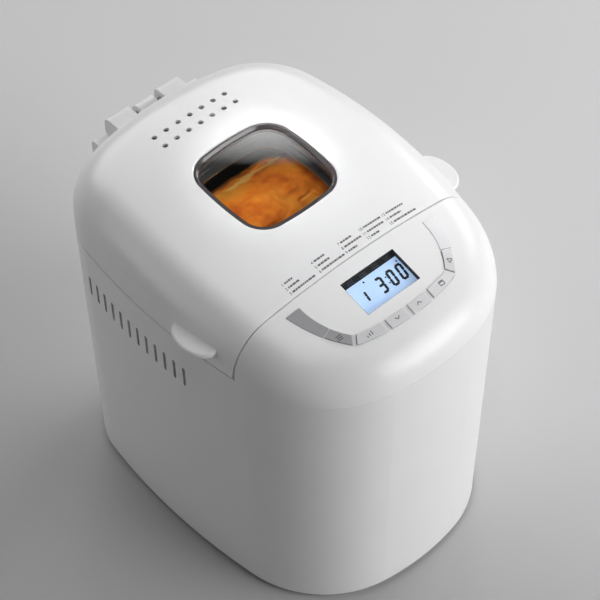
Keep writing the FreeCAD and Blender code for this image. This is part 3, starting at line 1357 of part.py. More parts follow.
PIECES = [body_shell, hinge_knuckle, lid_stops, hinge_pin, cord_gland, base_plate, feet, base_screws,
          chassis_posts, chassis_screws, chassis_plate, chamber_liner, heating_element, element_clips,
          temperature_sensor, pan_socket, socket_screws, drive_hub, drive_bushes, drive_shaft,
          drive_coupling, large_pulley, pulley_nut, drive_belt, motor_case, motor_stator, motor_rotor,
          motor_shaft, motor_pulley, power_board, board_guides, power_components,
          top_deck, strip_trims, display_lens, lcd_module, control_board, board_screws, tact_switches,
          lid_shell, lid_tabs, lid_liner, lid_seal, window_frame, window_glass, inner_glass,
          bread_pan, pan_base, pan_ears, pan_handle, pan_bush, pan_shaft, pan_coupling, kneading_paddle]

os.makedirs("parts", exist_ok=True)
for piece in PIECES:
    piece().exportStep(f"parts/{piece.__name__}.step")
for name, button in zip(BUTTON_NAMES, buttons()):
    button.exportStep(f"parts/{name}.step")
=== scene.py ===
import math
import random

import bmesh
import bpy
from mathutils import Matrix, Vector, noise


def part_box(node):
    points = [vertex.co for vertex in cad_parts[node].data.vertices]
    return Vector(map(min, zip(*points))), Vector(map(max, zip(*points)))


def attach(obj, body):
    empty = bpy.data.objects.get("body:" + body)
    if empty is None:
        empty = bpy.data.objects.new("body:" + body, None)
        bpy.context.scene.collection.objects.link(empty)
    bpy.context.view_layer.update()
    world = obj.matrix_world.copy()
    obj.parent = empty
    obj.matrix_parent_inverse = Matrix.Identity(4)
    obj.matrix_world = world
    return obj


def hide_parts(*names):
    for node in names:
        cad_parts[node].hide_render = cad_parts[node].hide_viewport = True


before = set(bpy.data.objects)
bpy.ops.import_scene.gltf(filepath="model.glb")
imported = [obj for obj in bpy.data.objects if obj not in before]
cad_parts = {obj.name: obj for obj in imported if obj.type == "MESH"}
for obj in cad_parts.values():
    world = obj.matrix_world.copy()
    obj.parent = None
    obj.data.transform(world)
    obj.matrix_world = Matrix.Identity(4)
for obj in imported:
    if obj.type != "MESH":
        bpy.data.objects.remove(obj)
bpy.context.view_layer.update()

# Base plate
# The floor of the machine is one flat moulding of white ABS that closes the casing from below.
# Eight screws hold it, and it carries the feet and the posts of the chassis.


def linear(code):
    """Linear colour of an sRGB hex value."""
    shares = [int(code[start:start + 2], 16) / 255 for start in (0, 2, 4)]
    return [c / 12.92 if c <= 0.04045 else ((c + 0.055) / 1.055) ** 2.4 for c in shares] + [1.0]


def per_metre(size_mm):
    """Scale of a pattern whose features are this many millimetres across."""
    return 1000 / size_mm


def add_node(tree, kind, settings=None, links=None):
    """One node: lower-case settings are its properties, the others its sockets, and links feed it."""
    node = tree.nodes.new(kind)
    for name, value in (settings or {}).items():
        if isinstance(name, str) and name.islower():
            setattr(node, name, value)
        else:
            node.inputs[name].default_value = value
    for name, sources in (links or {}).items():
        for source in sources if isinstance(sources, list) else [sources]:
            tree.links.new(source, node.inputs[name])
    return node


def start_material(name):
    """A new material with its shader and the piece's own coordinates in metres."""
    material = bpy.data.materials.new(name)
    material.use_nodes = True
    tree = material.node_tree
    place = add_node(tree, "ShaderNodeTexCoord").outputs["Object"]
    return material, tree, tree.nodes["Principled BSDF"], place


def mottled(name, light, dark, mottle_mm, rough, grain_mm, relief_mm, metallic=0.0, stretch=(1, 1, 1)):
    """Finish of two close shades, with uneven gloss and a fine relief.

    The mottle, the grain and the depth of the relief are real sizes in millimetres.
    """
    material, tree, shader, place = start_material(name)
    place = add_node(tree, "ShaderNodeMapping", {"Scale": stretch}, {"Vector": place}).outputs[0]
    mottle = add_node(tree, "ShaderNodeTexNoise", {"Scale": per_metre(mottle_mm), "Detail": 3.0},
                      {"Vector": place}).outputs[0]
    grain = add_node(tree, "ShaderNodeTexNoise", {"Scale": per_metre(grain_mm), "Detail": 2.0},
                     {"Vector": place}).outputs[0]
    shade = add_node(tree, "ShaderNodeMix", {"data_type": "RGBA", 6: linear(dark), 7: linear(light)},
                     {0: mottle}).outputs[2]
    gloss = add_node(tree, "ShaderNodeMapRange", {"To Min": rough[0], "To Max": rough[1]},
                     {0: grain}).outputs[0]
    relief = add_node(tree, "ShaderNodeBump", {"Strength": 0.5, "Distance": relief_mm / 1000},
                      {"Height": grain}).outputs[0]
    shader.inputs["Metallic"].default_value = metallic
    tree.links.new(shade, shader.inputs["Base Color"])
    tree.links.new(gloss, shader.inputs["Roughness"])
    tree.links.new(relief, shader.inputs["Normal"])
    return material


def dress(material, *names):
    """Gives CAD nodes whose shape is right their finish."""
    for name in names:
        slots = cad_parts[name].data.materials
        slots.clear()
        slots.append(material)


# Injection-moulded ABS from a polished tool: clean white, glossy, with a faint long-wave unevenness
glossy_white_abs = mottled("glossy_white_ABS", "f4f4f4", "f0f0f0", 40, (0.27, 0.34), 9.0, 0.003)
dress(glossy_white_abs, "base_plate")

# Feet
# Four round pads of soft black rubber, each held by a peg pressed through the base plate.

# Moulded rubber: nearly black and matt, with a fine sandy skin
black_rubber = mottled("black_rubber", "262627", "1a1a1b", 4, (0.7, 0.9), 0.5, 0.05)
dress(black_rubber, "feet")

# Chassis
# A steel plate on four turned posts carries the motor, the drive and the oven chamber.
# It is cut from galvanised sheet and screwed to the base plate through the posts.

# Hot-dip galvanised sheet: dull grey, with a spangle of crystals some millimetres across
galvanised_steel, tree, shader, place = start_material("galvanised_steel")
spangle = add_node(tree, "ShaderNodeTexVoronoi", {"Scale": per_metre(7)}, {"Vector": place})
crystal = add_node(tree, "ShaderNodeSeparateColor", {}, {0: spangle.outputs["Color"]}).outputs[0]
shade = add_node(tree, "ShaderNodeMix", {"data_type": "RGBA", 6: linear("9b9ea2"), 7: linear("b9bcbf")},
                 {0: crystal}).outputs[2]
gloss = add_node(tree, "ShaderNodeMapRange", {"To Min": 0.32, "To Max": 0.5}, {0: crystal}).outputs[0]
shader.inputs["Metallic"].default_value = 1.0
tree.links.new(shade, shader.inputs["Base Color"])
tree.links.new(gloss, shader.inputs["Roughness"])
dress(galvanised_steel, "chassis_plate", "chassis_posts")

# Screws
# Zinc-plated steel screws with a cross in their round heads hold the base, chassis, socket and motor.
# Each takes the place of one plain screw of the frame, and all stand upright.


def solids_of(node):
    """Lowest and highest corner of each separate solid in a CAD node."""
    shape = bmesh.new()
    shape.from_mesh(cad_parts[node].data)
    bmesh.ops.remove_doubles(shape, verts=shape.verts, dist=1e-6)
    waiting, corners = set(shape.verts), []
    while waiting:
        found, edge = set(), [waiting.pop()]
        while edge:
            vert = edge.pop()
            found.add(vert)
            near = {link.other_vert(vert) for link in vert.link_edges} & waiting
            waiting -= near
            edge += near
        corners.append([Vector([pick(vert.co[axis] for vert in found) for axis in range(3)])
                        for pick in (min, max)])
    shape.free()
    return corners


def start_tree(name, **inputs):
    """A new geometry tree that takes points and the named inputs, given as socket kinds."""
    tree = bpy.data.node_groups.new(name, "GeometryNodeTree")
    tree.interface.new_socket("Geometry", in_out="OUTPUT", socket_type="NodeSocketGeometry")
    tree.interface.new_socket("Geometry", in_out="INPUT", socket_type="NodeSocketGeometry")
    for label, kind in inputs.items():
        tree.interface.new_socket(label, in_out="INPUT", socket_type="NodeSocket" + kind)
    return tree, add_node(tree, "NodeGroupInput").outputs


def show(name, data):
    """A new object made of this data, put into the scene."""
    piece = bpy.data.objects.new(name, data)
    bpy.context.scene.collection.objects.link(piece)
    return piece


def made_by(tree, name, points, values, **inputs):
    """Runs a geometry tree on points that carry values, and keeps the result as one plain mesh."""
    cloud = bpy.data.meshes.new(name)
    cloud.from_pydata(points, [], [])
    for label, numbers in values.items():
        cloud.attributes.new(label, "FLOAT", "POINT").data.foreach_set("value", numbers)
    piece = show(name, cloud)
    run = piece.modifiers.new("run", "NODES")
    run.node_group = tree
    for socket in tree.interface.items_tree:
        if socket.in_out == "INPUT" and socket.name in inputs:
            run[socket.identifier] = inputs[socket.name]
    ready = piece.evaluated_get(bpy.context.evaluated_depsgraph_get())
    mesh = bpy.data.meshes.new_from_object(ready)
    piece.modifiers.remove(run)
    piece.data = mesh
    return piece


# One screw of unit head radius: a low dome, a cross cut into it and a shank, set on every point
screw_tree, given = start_tree("cross_head_screw", Radius="Float", Turn="Vector", Metal="Material")
HEAD_HIGH, DOME, CROSS_LONG, CROSS_WIDE, SHANK_WIDE = 0.66, 1.6, 1.25, 0.24, 0.5
HEAD_SIDES, SHANK_SIDES = 28, 20
drum = add_node(screw_tree, "GeometryNodeMeshCylinder",
                {"Vertices": HEAD_SIDES, "Radius": 1.0, "Depth": HEAD_HIGH})
drum = add_node(screw_tree, "GeometryNodeTransform", {"Translation": (0, 0, HEAD_HIGH / 2)},
                {"Geometry": drum.outputs["Mesh"]}).outputs[0]
ball = add_node(screw_tree, "GeometryNodeMeshUVSphere",
                {"Segments": HEAD_SIDES, "Rings": HEAD_SIDES, "Radius": DOME})
ball = add_node(screw_tree, "GeometryNodeTransform", {"Translation": (0, 0, HEAD_HIGH - DOME)},
                {"Geometry": ball.outputs["Mesh"]}).outputs[0]
head = add_node(screw_tree, "GeometryNodeMeshBoolean", {"operation": "INTERSECT"}, {"Mesh 2": [drum, ball]})
bars = []
for size in ((CROSS_LONG, CROSS_WIDE, HEAD_HIGH), (CROSS_WIDE, CROSS_LONG, HEAD_HIGH)):
    bar = add_node(screw_tree, "GeometryNodeMeshCube", {"Size": size})
    bars.append(add_node(screw_tree, "GeometryNodeTransform", {"Translation": (0, 0, HEAD_HIGH)},
                         {"Geometry": bar.outputs["Mesh"]}).outputs[0])
head = add_node(screw_tree, "GeometryNodeMeshBoolean", {"operation": "DIFFERENCE"},
                {"Mesh 1": head.outputs["Mesh"], "Mesh 2": bars}).outputs["Mesh"]
shank = add_node(screw_tree, "GeometryNodeMeshCylinder",
                 {"Vertices": SHANK_SIDES, "Radius": SHANK_WIDE, "Depth": 1.0})
shank = add_node(screw_tree, "GeometryNodeTransform", {"Translation": (0, 0, -0.5)},
                 {"Geometry": shank.outputs["Mesh"]}).outputs[0]
long = add_node(screw_tree, "GeometryNodeInputNamedAttribute",
                {"data_type": "FLOAT", "Name": "shank"}).outputs[0]
long = add_node(screw_tree, "ShaderNodeCombineXYZ", {},
                {"X": given["Radius"], "Y": given["Radius"], "Z": long}).outputs[0]
placed = [add_node(screw_tree, "GeometryNodeInstanceOnPoints", {},
                   {"Points": given["Geometry"], "Instance": form, "Rotation": given["Turn"],
                    "Scale": scale}).outputs[0] for form, scale in ((head, given["Radius"]), (shank, long))]
placed = add_node(screw_tree, "GeometryNodeJoinGeometry", {}, {0: placed}).outputs[0]
placed = add_node(screw_tree, "GeometryNodeRealizeInstances", {}, {0: placed}).outputs[0]
placed = add_node(screw_tree, "GeometryNodeSetMaterial", {},
                  {"Geometry": placed, "Material": given["Metal"]}).outputs[0]
add_node(screw_tree, "NodeGroupOutput", {}, {0: placed})

# Bright zinc plate on steel: pale, smooth, a little uneven in tone
zinc_steel = mottled("zinc_plated_steel", "cdcfd2", "b2b5b9", 2, (0.22, 0.36), 0.6, 0.004, 1.0)
HEAD_RADIUS, HEAD_HEIGHT = 0.003, 0.002
for node, upward in (("base_screws", False), ("chassis_screws", True), ("socket_screws", True)):
    seats, shanks = [], []
    for low, high in solids_of(node):
        middle = (low + high) / 2
        seats.append((middle.x, middle.y, high.z - HEAD_HEIGHT if upward else low.z + HEAD_HEIGHT))
        shanks.append(high.z - low.z - HEAD_HEIGHT)
    turn = (0, 0, 0) if upward else (math.pi, 0, 0)
    screws = made_by(screw_tree, "cross_head_" + node, seats, {"shank": shanks}, Radius=HEAD_RADIUS,
                     Turn=turn, Metal=zinc_steel)
    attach(screws, "base")
    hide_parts(node)
dress(zinc_steel, "board_screws", "pulley_nut", "element_clips")

# Motor
# An induction motor hangs in a cast case beside the oven, with an iron stator and rotor on a steel shaft.

# Die-cast aluminium as it leaves the tool: grey, satin, slightly pitted
cast_aluminium = mottled("cast_aluminium", "bcbdbf", "9c9da0", 2.5, (0.4, 0.6), 0.8, 0.03, 1.0)
# Lacquered iron: dark grey with a dull shine
lacquered_iron = mottled("lacquered_iron", "5f6163", "4a4b4d", 2, (0.4, 0.6), 0.6, 0.01, 0.8)
# Ground steel bar: bright, with fine rings left by turning
turned_steel = mottled("turned_steel", "c6c8cb", "a6a9ad", 1.5, (0.18, 0.32), 0.4, 0.003, 1.0, (1, 1, 4))
dress(cast_aluminium, "motor_case")
dress(lacquered_iron, "motor_stator", "motor_rotor")
dress(turned_steel, "motor_shaft")

# Drive
# Two nylon pulleys and a rubber belt turn the shaft under the oven.
# The shaft runs in bronze bushes, pressed into a cast hub.

# Sintered bronze: warm brown metal with open pores
sintered_bronze = mottled("sintered_bronze", "b08a58", "8f6c40", 1.0, (0.4, 0.6), 0.4, 0.01, 1.0)
# Filled nylon: black, satin, faintly grainy from the tool
black_nylon = mottled("black_nylon", "2a2a2c", "202022", 3, (0.4, 0.55), 0.6, 0.01)
dress(sintered_bronze, "drive_bushes", "pan_bush")
dress(black_nylon, "large_pulley", "motor_pulley", "drive_coupling", "pan_coupling")
dress(black_rubber, "drive_belt")
dress(cast_aluminium, "drive_hub")
dress(turned_steel, "drive_shaft")

# Boards
# The power board stands on edge beside the motor and the control board lies under the panel.
# Both are glass-fibre boards with green solder mask, and carry black moulded components.

# Solder mask: deep green and glossy, paler where copper runs under it
solder_mask = mottled("green_solder_mask", "3d7d4a", "24542f", 3, (0.25, 0.4), 1.2, 0.02)
dress(solder_mask, "power_board", "control_board")
dress(black_nylon, "board_guides", "tact_switches", "power_components")

# Body
# One deep moulding of glossy white ABS, narrower at the foot, with a row of cooling slots in each side.
# A black rubber gland at the back is where the mains lead would pass.
dress(glossy_white_abs, "body_shell")
dress(black_rubber, "cord_gland")

# Oven
# The chamber is pressed from aluminised steel.
# A sheathed heater runs round the pan on clips, and a probe is let into the wall.

# Aluminised sheet: pale satin grey, drawn out by rolling
aluminised_steel = mottled("aluminised_steel", "c2c3c4", "a6a8aa", 5, (0.3, 0.45), 0.8, 0.008, 1.0,
                           (1, 1, 0.25))
# Heater sheath: nickel alloy browned by heat
browned_sheath = mottled("browned_alloy_sheath", "5b544d", "3d3833", 4, (0.4, 0.6), 0.8, 0.02, 0.8)
dress(aluminised_steel, "chamber_liner")
dress(browned_sheath, "heating_element")
dress(turned_steel, "temperature_sensor")
dress(cast_aluminium, "pan_socket")

# Bread pan
# A drawn aluminium pan with a dark non-stick coat, on a cast foot that locks into the socket.
# Its wire handle turns on riveted steel ears, and the coated paddle sits on the shaft in its floor.

# Sprayed non-stick coat: dark grey, satin, with pale flecks about a millimetre apart
non_stick, tree, shader, place = start_material("non_stick_coat")
cells = add_node(tree, "ShaderNodeTexVoronoi", {"Scale": per_metre(1.6)},
                 {"Vector": place}).outputs["Distance"]
fleck = add_node(tree, "ShaderNodeMapRange",
                 {"From Min": 0.12, "From Max": 0.2, "To Min": 1.0, "To Max": 0.0}, {0: cells}).outputs[0]
shade = add_node(tree, "ShaderNodeMix", {"data_type": "RGBA", 6: linear("2d2d2f"), 7: linear("6a6a6c")},
                 {0: fleck}).outputs[2]
orange_peel = add_node(tree, "ShaderNodeTexNoise", {"Scale": per_metre(0.9)}, {"Vector": place}).outputs[0]
gloss = add_node(tree, "ShaderNodeMapRange", {"To Min": 0.34, "To Max": 0.5}, {0: orange_peel}).outputs[0]
relief = add_node(tree, "ShaderNodeBump", {"Strength": 0.5, "Distance": 0.00002},
                  {"Height": orange_peel}).outputs[0]
tree.links.new(shade, shader.inputs["Base Color"])
tree.links.new(gloss, shader.inputs["Roughness"])
tree.links.new(relief, shader.inputs["Normal"])
dress(non_stick, "bread_pan", "kneading_paddle")
dress(cast_aluminium, "pan_base")
dress(turned_steel, "pan_ears", "pan_handle", "pan_shaft")

# Loaf
# A baked loaf stands in the pan, risen over its rim and held all round by the tapered walls.
# Its crust is golden brown and folded, and has torn open along the back, where the pale crumb shows.
PAN_MIDDLE = 0.028
PAN_LOW, PAN_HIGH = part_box("bread_pan")[0].z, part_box("bread_pan")[1].z
PAN_HALF, PAN_DRAFT = (0.0785, 0.0585), 0.004
CRUST_CORNER, CRUST_GAP = 0.0225, 0.0004
OVER_PADDLE, BELOW_RIM, HANDLE_BELOW_RIM = 0.003, 0.004, 0.006
LOAF_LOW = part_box("kneading_paddle")[1].z + OVER_PADDLE
LOAF_SIDE_TOP = PAN_HIGH - BELOW_RIM
HANDLE_Z, HANDLE_FREE = PAN_HIGH - HANDLE_BELOW_RIM, 0.0637
END_SQUARE, END_LOW = 6, 0.35
OUTLINE_STEPS = 20


def loaf_outline(z):
    """Rounded rectangle just inside the pan's wall at this height."""
    out = min((z - PAN_LOW) / (PAN_HIGH - PAN_LOW), 1.0)
    half_x, half_y = (half - PAN_DRAFT * (1 - out) - CRUST_GAP for half in PAN_HALF)
    ring = []
    for quarter in range(4):
        side_x, side_y = ((1, 1), (-1, 1), (-1, -1), (1, -1))[quarter]
        for step in range(OUTLINE_STEPS):
            turn = math.pi / 2 * (quarter + step / (OUTLINE_STEPS - 1))
            ring.append((side_x * (half_x - CRUST_CORNER) + CRUST_CORNER * math.cos(turn),
                         side_y * (half_y - CRUST_CORNER) + CRUST_CORNER * math.sin(turn)))
        straight = 2 * (half_x if quarter % 2 == 0 else half_y) - 2 * CRUST_CORNER
        ahead_x, ahead_y = ((-1, 0), (0, -1), (1, 0), (0, 1))[quarter]
        x, y = ring[-1]
        ring += [(x + ahead_x * straight * part / OUTLINE_STEPS,
                  y + ahead_y * straight * part / OUTLINE_STEPS) for part in range(1, OUTLINE_STEPS)]
    return ring


def loaf_top(x, y):
    """Risen crown of the loaf: as high as the handle's swing allows, rounded off at both ends."""
    arch = math.sqrt(HANDLE_FREE ** 2 - y ** 2)
    end = max(1 - abs(x / PAN_HALF[0]) ** END_SQUARE, 0) ** 0.5
    return LOAF_SIDE_TOP + (HANDLE_Z + arch - LOAF_SIDE_TOP) * (END_LOW + (1 - END_LOW) * end)


# The tear wanders in long and short waves and changes its width: each wave is a length and a row of the noise
TEAR_FROM_MIDDLE, TEAR_HALF, TEAR_DEPTH = 0.0285, 0.0030, 0.0018
TEAR_ENDS, TEAR_FADE = (-0.014, 0.054), 0.014
LONG_SWING, LONG_WAVE = 0.004, (0.03, 3.1, 0.7)
SHORT_SWING, SHORT_WAVE = 0.0022, (0.005, 1.3, 4.2)
WIDTH_SWING, WIDTH_WAVE = 0.6, (0.009, 5.2, 1.6)


def along_tear(x, wave):
    """Value from -1 to 1 that changes along the loaf with this wave."""
    length, row, layer = wave
    return noise.noise(Vector((x / length, row, layer)))


def tear_at(x, y):
    """How far open the crust is here, from 0 to 1."""
    drift = LONG_SWING * along_tear(x, LONG_WAVE) + SHORT_SWING * along_tear(x, SHORT_WAVE)
    wide = TEAR_HALF * (1 + WIDTH_SWING * along_tear(x, WIDTH_WAVE))
    ends = min((x - TEAR_ENDS[0]) / TEAR_FADE, (TEAR_ENDS[1] - x) / TEAR_FADE, 1.0)
    return max(ends, 0.0) * math.exp(-((y - TEAR_FROM_MIDDLE - drift) / wide) ** 4)


# The folds follow one level of a noise that is stretched along the loaf and swayed by another
FOLD_SIZE, FOLD_DEPTH, FOLD_STRETCH = 0.028, 0.0020, 0.7
FOLD_LAYER, FOLD_LEVEL, FOLD_BAND = 0.05, 0.05, 0.13
SWAY_SIZE, SWAY_LAYERS, SWAY = 0.015, (0.11, 0.37), 0.7


def crease_at(x, y):
    """How deep this place lies in a fold of the crust, from 0 to 1."""
    sway = Vector([noise.noise(Vector((x, y, layer)) / SWAY_SIZE) for layer in SWAY_LAYERS] + [0])
    fold = noise.noise(Vector((x * FOLD_STRETCH, y, FOLD_LAYER)) / FOLD_SIZE + sway * SWAY)
    return max(1 - abs(fold - FOLD_LEVEL) / FOLD_BAND, 0.0) * (0.6 + 0.4 * sway.x)


def lumps(spot, size):
    """Value from 0 to 1 that changes over this size."""
    return 0.5 + 0.5 * noise.noise(spot / size)


FOOT_RINGS = ((0.03, 0.0006), (0.012, 0.0), (0.004, 0.001), (0.001, 0.004))
FOOT_HIGH = 0.008
SIDE_RINGS, TOP_RINGS = 10, 84
RING_CROWD, SHOULDER, SHOULDER_ROUND = 1.6, 20, 0.3
rings = []
for inset, lift in FOOT_RINGS:
    z = LOAF_LOW + lift
    rings.append([(x * (1 - inset / PAN_HALF[0]), y * (1 - inset / PAN_HALF[1]), z)
                  for x, y in loaf_outline(z)])
for step in range(SIDE_RINGS):
    z = LOAF_LOW + FOOT_HIGH + (LOAF_SIDE_TOP - LOAF_LOW - FOOT_HIGH) * step / (SIDE_RINGS - 1)
    rings.append([(x, y, z) for x, y in loaf_outline(z)])
for step in range(1, TOP_RINGS):
    shrink = 1 - (step / TOP_RINGS) ** RING_CROWD
    rise = (1 - shrink ** SHOULDER) ** SHOULDER_ROUND
    inner = [(x * shrink, y * shrink) for x, y in loaf_outline(LOAF_SIDE_TOP)]
    rings.append([(x, y, LOAF_SIDE_TOP + (loaf_top(x, y) - LOAF_SIDE_TOP) * rise) for x, y in inner])

DENT_SIZE, DENT_DEPTH = 0.019, 0.0026
PORE_SIZE, PORE_DEPTH = 0.006, 0.0012
JAG_SIZE, FADE_HIGH = 0.0035, 0.012
CROWN_LEAN, LEAN_REACH = 0.6, (0.09, 0.05)
shape = bmesh.new()
open_crust = shape.verts.layers.float.new("tear")
folded = shape.verts.layers.float.new("crease")
loops = []
for ring in rings:
    loop = []
    for x, y, z in ring:
        spot = Vector((x, y, z))
        above = min(max((z - LOAF_SIDE_TOP) / FADE_HIGH, 0.0), 1.0)
        tear = tear_at(x, y) * above
        crease = crease_at(x, y) * above
        jag = lumps(spot, JAG_SIZE)
        sag = DENT_DEPTH * lumps(spot, DENT_SIZE) + FOLD_DEPTH * crease
        sag += PORE_DEPTH * lumps(spot, PORE_SIZE) + TEAR_DEPTH * tear * jag
        outward = Vector((x / LEAN_REACH[0], y / LEAN_REACH[1], 0)) * CROWN_LEAN
        outward = (Vector((0, 0, 1)) + outward).normalized()
        vert = shape.verts.new(Vector((x, y + PAN_MIDDLE, z)) - outward * sag * above)
        vert[open_crust] = tear * (0.55 + 0.45 * jag)
        vert[folded] = crease
        loop.append(vert)
    loops.append(loop)
count = len(loops[0])
for lower, upper in zip(loops, loops[1:]):
    for index in range(count):
        after = (index + 1) % count
        shape.faces.new((lower[index], lower[after], upper[after], upper[index]))
for loop in (loops[0][::-1], loops[-1]):
    middle = sum((vert.co for vert in loop), Vector()) / count
    pole = shape.verts.new(middle)
    for index in range(count):
        shape.faces.new((loop[index], loop[(index + 1) % count], pole))
bmesh.ops.recalc_face_normals(shape, faces=shape.faces)
for face in shape.faces:
    face.smooth = True
crust_mesh = bpy.data.meshes.new("bread_loaf")
shape.to_mesh(crust_mesh)
shape.free()
loaf = show("bread_loaf", crust_mesh)
finer = loaf.modifiers.new("finer", "SUBSURF")
finer.levels = finer.render_levels = 1

# Baked crust: gold to dark amber in patches, finely wrinkled, with painted shade that darkens its folds, and
# crumb in the tear
baked_crust, tree, shader, place = start_material("baked_crust")
patches = add_node(tree, "ShaderNodeTexNoise", {"Scale": per_metre(22), "Detail": 6.0, "Roughness": 0.6},
                   {"Vector": place}).outputs[0]
browning = add_node(tree, "ShaderNodeValToRGB", {}, {0: patches})
tones = browning.color_ramp.elements
tones[0].position, tones[0].color = 0.32, linear("cc5c12")
tones[1].position, tones[1].color = 0.70, linear("ffac3c")
tones.new(0.5).color = linear("f58822")
wrinkle = add_node(tree, "ShaderNodeTexNoise", {"Scale": per_metre(3.5), "Detail": 5.0, "Roughness": 0.65},
                   {"Vector": place}).outputs[0]
# The folds are mixed towards a darker amber: painted shade in the creases
fold = add_node(tree, "ShaderNodeAttribute", {"attribute_name": "crease"}).outputs["Fac"]
fold = add_node(tree, "ShaderNodeMath", {"operation": "MULTIPLY", "use_clamp": True, 1: 0.75},
                {0: fold}).outputs[0]
shade = add_node(tree, "ShaderNodeMix", {"data_type": "RGBA", 7: linear("d6741f")},
                 {0: fold, 6: browning.outputs[0]}).outputs[2]
crumb = add_node(tree, "ShaderNodeAttribute", {"attribute_name": "tear"}).outputs["Fac"]
ragged = add_node(tree, "ShaderNodeMath", {"operation": "MULTIPLY_ADD", 1: 0.5},
                  {0: wrinkle, 2: crumb}).outputs[0]
crumb = add_node(tree, "ShaderNodeMapRange", {"From Min": 0.45, "From Max": 0.6}, {0: ragged}).outputs[0]
shade = add_node(tree, "ShaderNodeMix", {"data_type": "RGBA", 7: linear("ffc266")},
                 {0: crumb, 6: shade}).outputs[2]
gloss = add_node(tree, "ShaderNodeMapRange", {"To Min": 0.42, "To Max": 0.7}, {0: wrinkle}).outputs[0]
relief = add_node(tree, "ShaderNodeBump", {"Strength": 0.7, "Distance": 0.0006},
                  {"Height": wrinkle}).outputs[0]
tree.links.new(shade, shader.inputs["Base Color"])
shader.inputs["Specular IOR Level"].default_value = 0.12
tree.links.new(gloss, shader.inputs["Roughness"])
tree.links.new(relief, shader.inputs["Normal"])
loaf.data.materials.append(baked_crust)
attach(loaf, "pan")

# Top deck
# The control panel housing and the rim round the oven are one white moulding on top of the body.
dress(glossy_white_abs, "top_deck")

# Display
# A liquid crystal cell lies under the panel behind a clear cover, in a black mask printed round its picture.
# It shows a programme number and the time, and small marks run along the mask's upper bar.
CROWN_TOP, CROWN_MIDDLE, CROWN_ACROSS, CROWN_ALONG = 0.3105, 0.048, 0.608, 0.628
DISPLAY_MIDDLE = -0.1055


def crown_height(x, y):
    """Height of the domed top over this place."""
    slice_height = CROWN_ALONG - CROWN_ACROSS + math.sqrt(CROWN_ACROSS ** 2 - x ** 2)
    return CROWN_TOP - CROWN_ALONG + math.sqrt(slice_height ** 2 - (y - CROWN_MIDDLE) ** 2)


panel_tilt = math.asin((CROWN_MIDDLE - DISPLAY_MIDDLE) / CROWN_ALONG)
panel = (Matrix.Translation((0, DISPLAY_MIDDLE, crown_height(0, DISPLAY_MIDDLE)))
         @ Matrix.Rotation(panel_tilt, 4, "X"))

# Liquid crystal cell lit from behind: an even pale blue that glows a little
liquid_crystal, tree, shader, place = start_material("backlit_liquid_crystal")
cloud = add_node(tree, "ShaderNodeTexNoise", {"Scale": per_metre(20)}, {"Vector": place}).outputs[0]
shade = add_node(tree, "ShaderNodeMix", {"data_type": "RGBA", 6: linear("a9c3e4"), 7: linear("b8cfec")},
                 {0: cloud}).outputs[2]
tree.links.new(shade, shader.inputs["Base Color"])
tree.links.new(shade, shader.inputs["Emission Color"])
shader.inputs["Emission Strength"].default_value = 0.4
shader.inputs["Roughness"].default_value = 0.35
dress(liquid_crystal, "lcd_module")

# Screen ink: matt blue-black, a little uneven where it is thin
screen_ink = mottled("screen_ink", "05060d", "030408", 2, (0.6, 0.75), 0.5, 0.002)

# Marks that lie flat on a surface: bars of any length and turn, square or pointed at both ends
mark_tree, given = start_tree("flat_marks", Wide="Float", Thick="Float", Square="Float", Ink="Material")
stroke = add_node(mark_tree, "GeometryNodeMeshCylinder",
                  {"Vertices": 6, "Radius": 1.0, "Depth": 1.0}).outputs["Mesh"]
corner = add_node(mark_tree, "GeometryNodeInputPosition").outputs[0]
corner = add_node(mark_tree, "ShaderNodeSeparateXYZ", {}, {0: corner}).outputs
reach = add_node(mark_tree, "ShaderNodeMath", {"operation": "ABSOLUTE"}, {0: corner["X"]}).outputs[0]
side = add_node(mark_tree, "ShaderNodeMath", {"operation": "SIGN"}, {0: corner["X"]}).outputs[0]
reach = add_node(mark_tree, "ShaderNodeMapRange", {"From Min": 0.5, "From Max": 1.0, "To Max": 1.0},
                 {0: reach, "To Min": given["Square"]}).outputs[0]
reach = add_node(mark_tree, "ShaderNodeMath", {"operation": "MULTIPLY"}, {0: reach, 1: side}).outputs[0]
corner = add_node(mark_tree, "ShaderNodeCombineXYZ", {},
                  {"X": reach, "Y": corner["Y"], "Z": corner["Z"]}).outputs[0]
stroke = add_node(mark_tree, "GeometryNodeSetPosition", {},
                  {"Geometry": stroke, "Position": corner}).outputs[0]
span, turn = (add_node(mark_tree, "GeometryNodeInputNamedAttribute",
                       {"data_type": "FLOAT", "Name": label}).outputs[0] for label in ("span", "turn"))
half = add_node(mark_tree, "ShaderNodeMath", {"operation": "MULTIPLY", 1: 0.5}, {0: span}).outputs[0]
wide = add_node(mark_tree, "ShaderNodeMath", {"operation": "DIVIDE", 1: math.sqrt(3)},
                {0: given["Wide"]}).outputs[0]
size = add_node(mark_tree, "ShaderNodeCombineXYZ", {},
                {"X": half, "Y": wide, "Z": given["Thick"]}).outputs[0]
turn = add_node(mark_tree, "ShaderNodeCombineXYZ", {}, {"Z": turn}).outputs[0]
placed = add_node(mark_tree, "GeometryNodeInstanceOnPoints", {},
                  {"Points": given["Geometry"], "Instance": stroke, "Rotation": turn,
                   "Scale": size}).outputs[0]
placed = add_node(mark_tree, "GeometryNodeRealizeInstances", {}, {0: placed}).outputs[0]
placed = add_node(mark_tree, "GeometryNodeSetMaterial", {},
                  {"Geometry": placed, "Material": given["Ink"]}).outputs[0]
add_node(mark_tree, "NodeGroupOutput", {}, {0: placed})


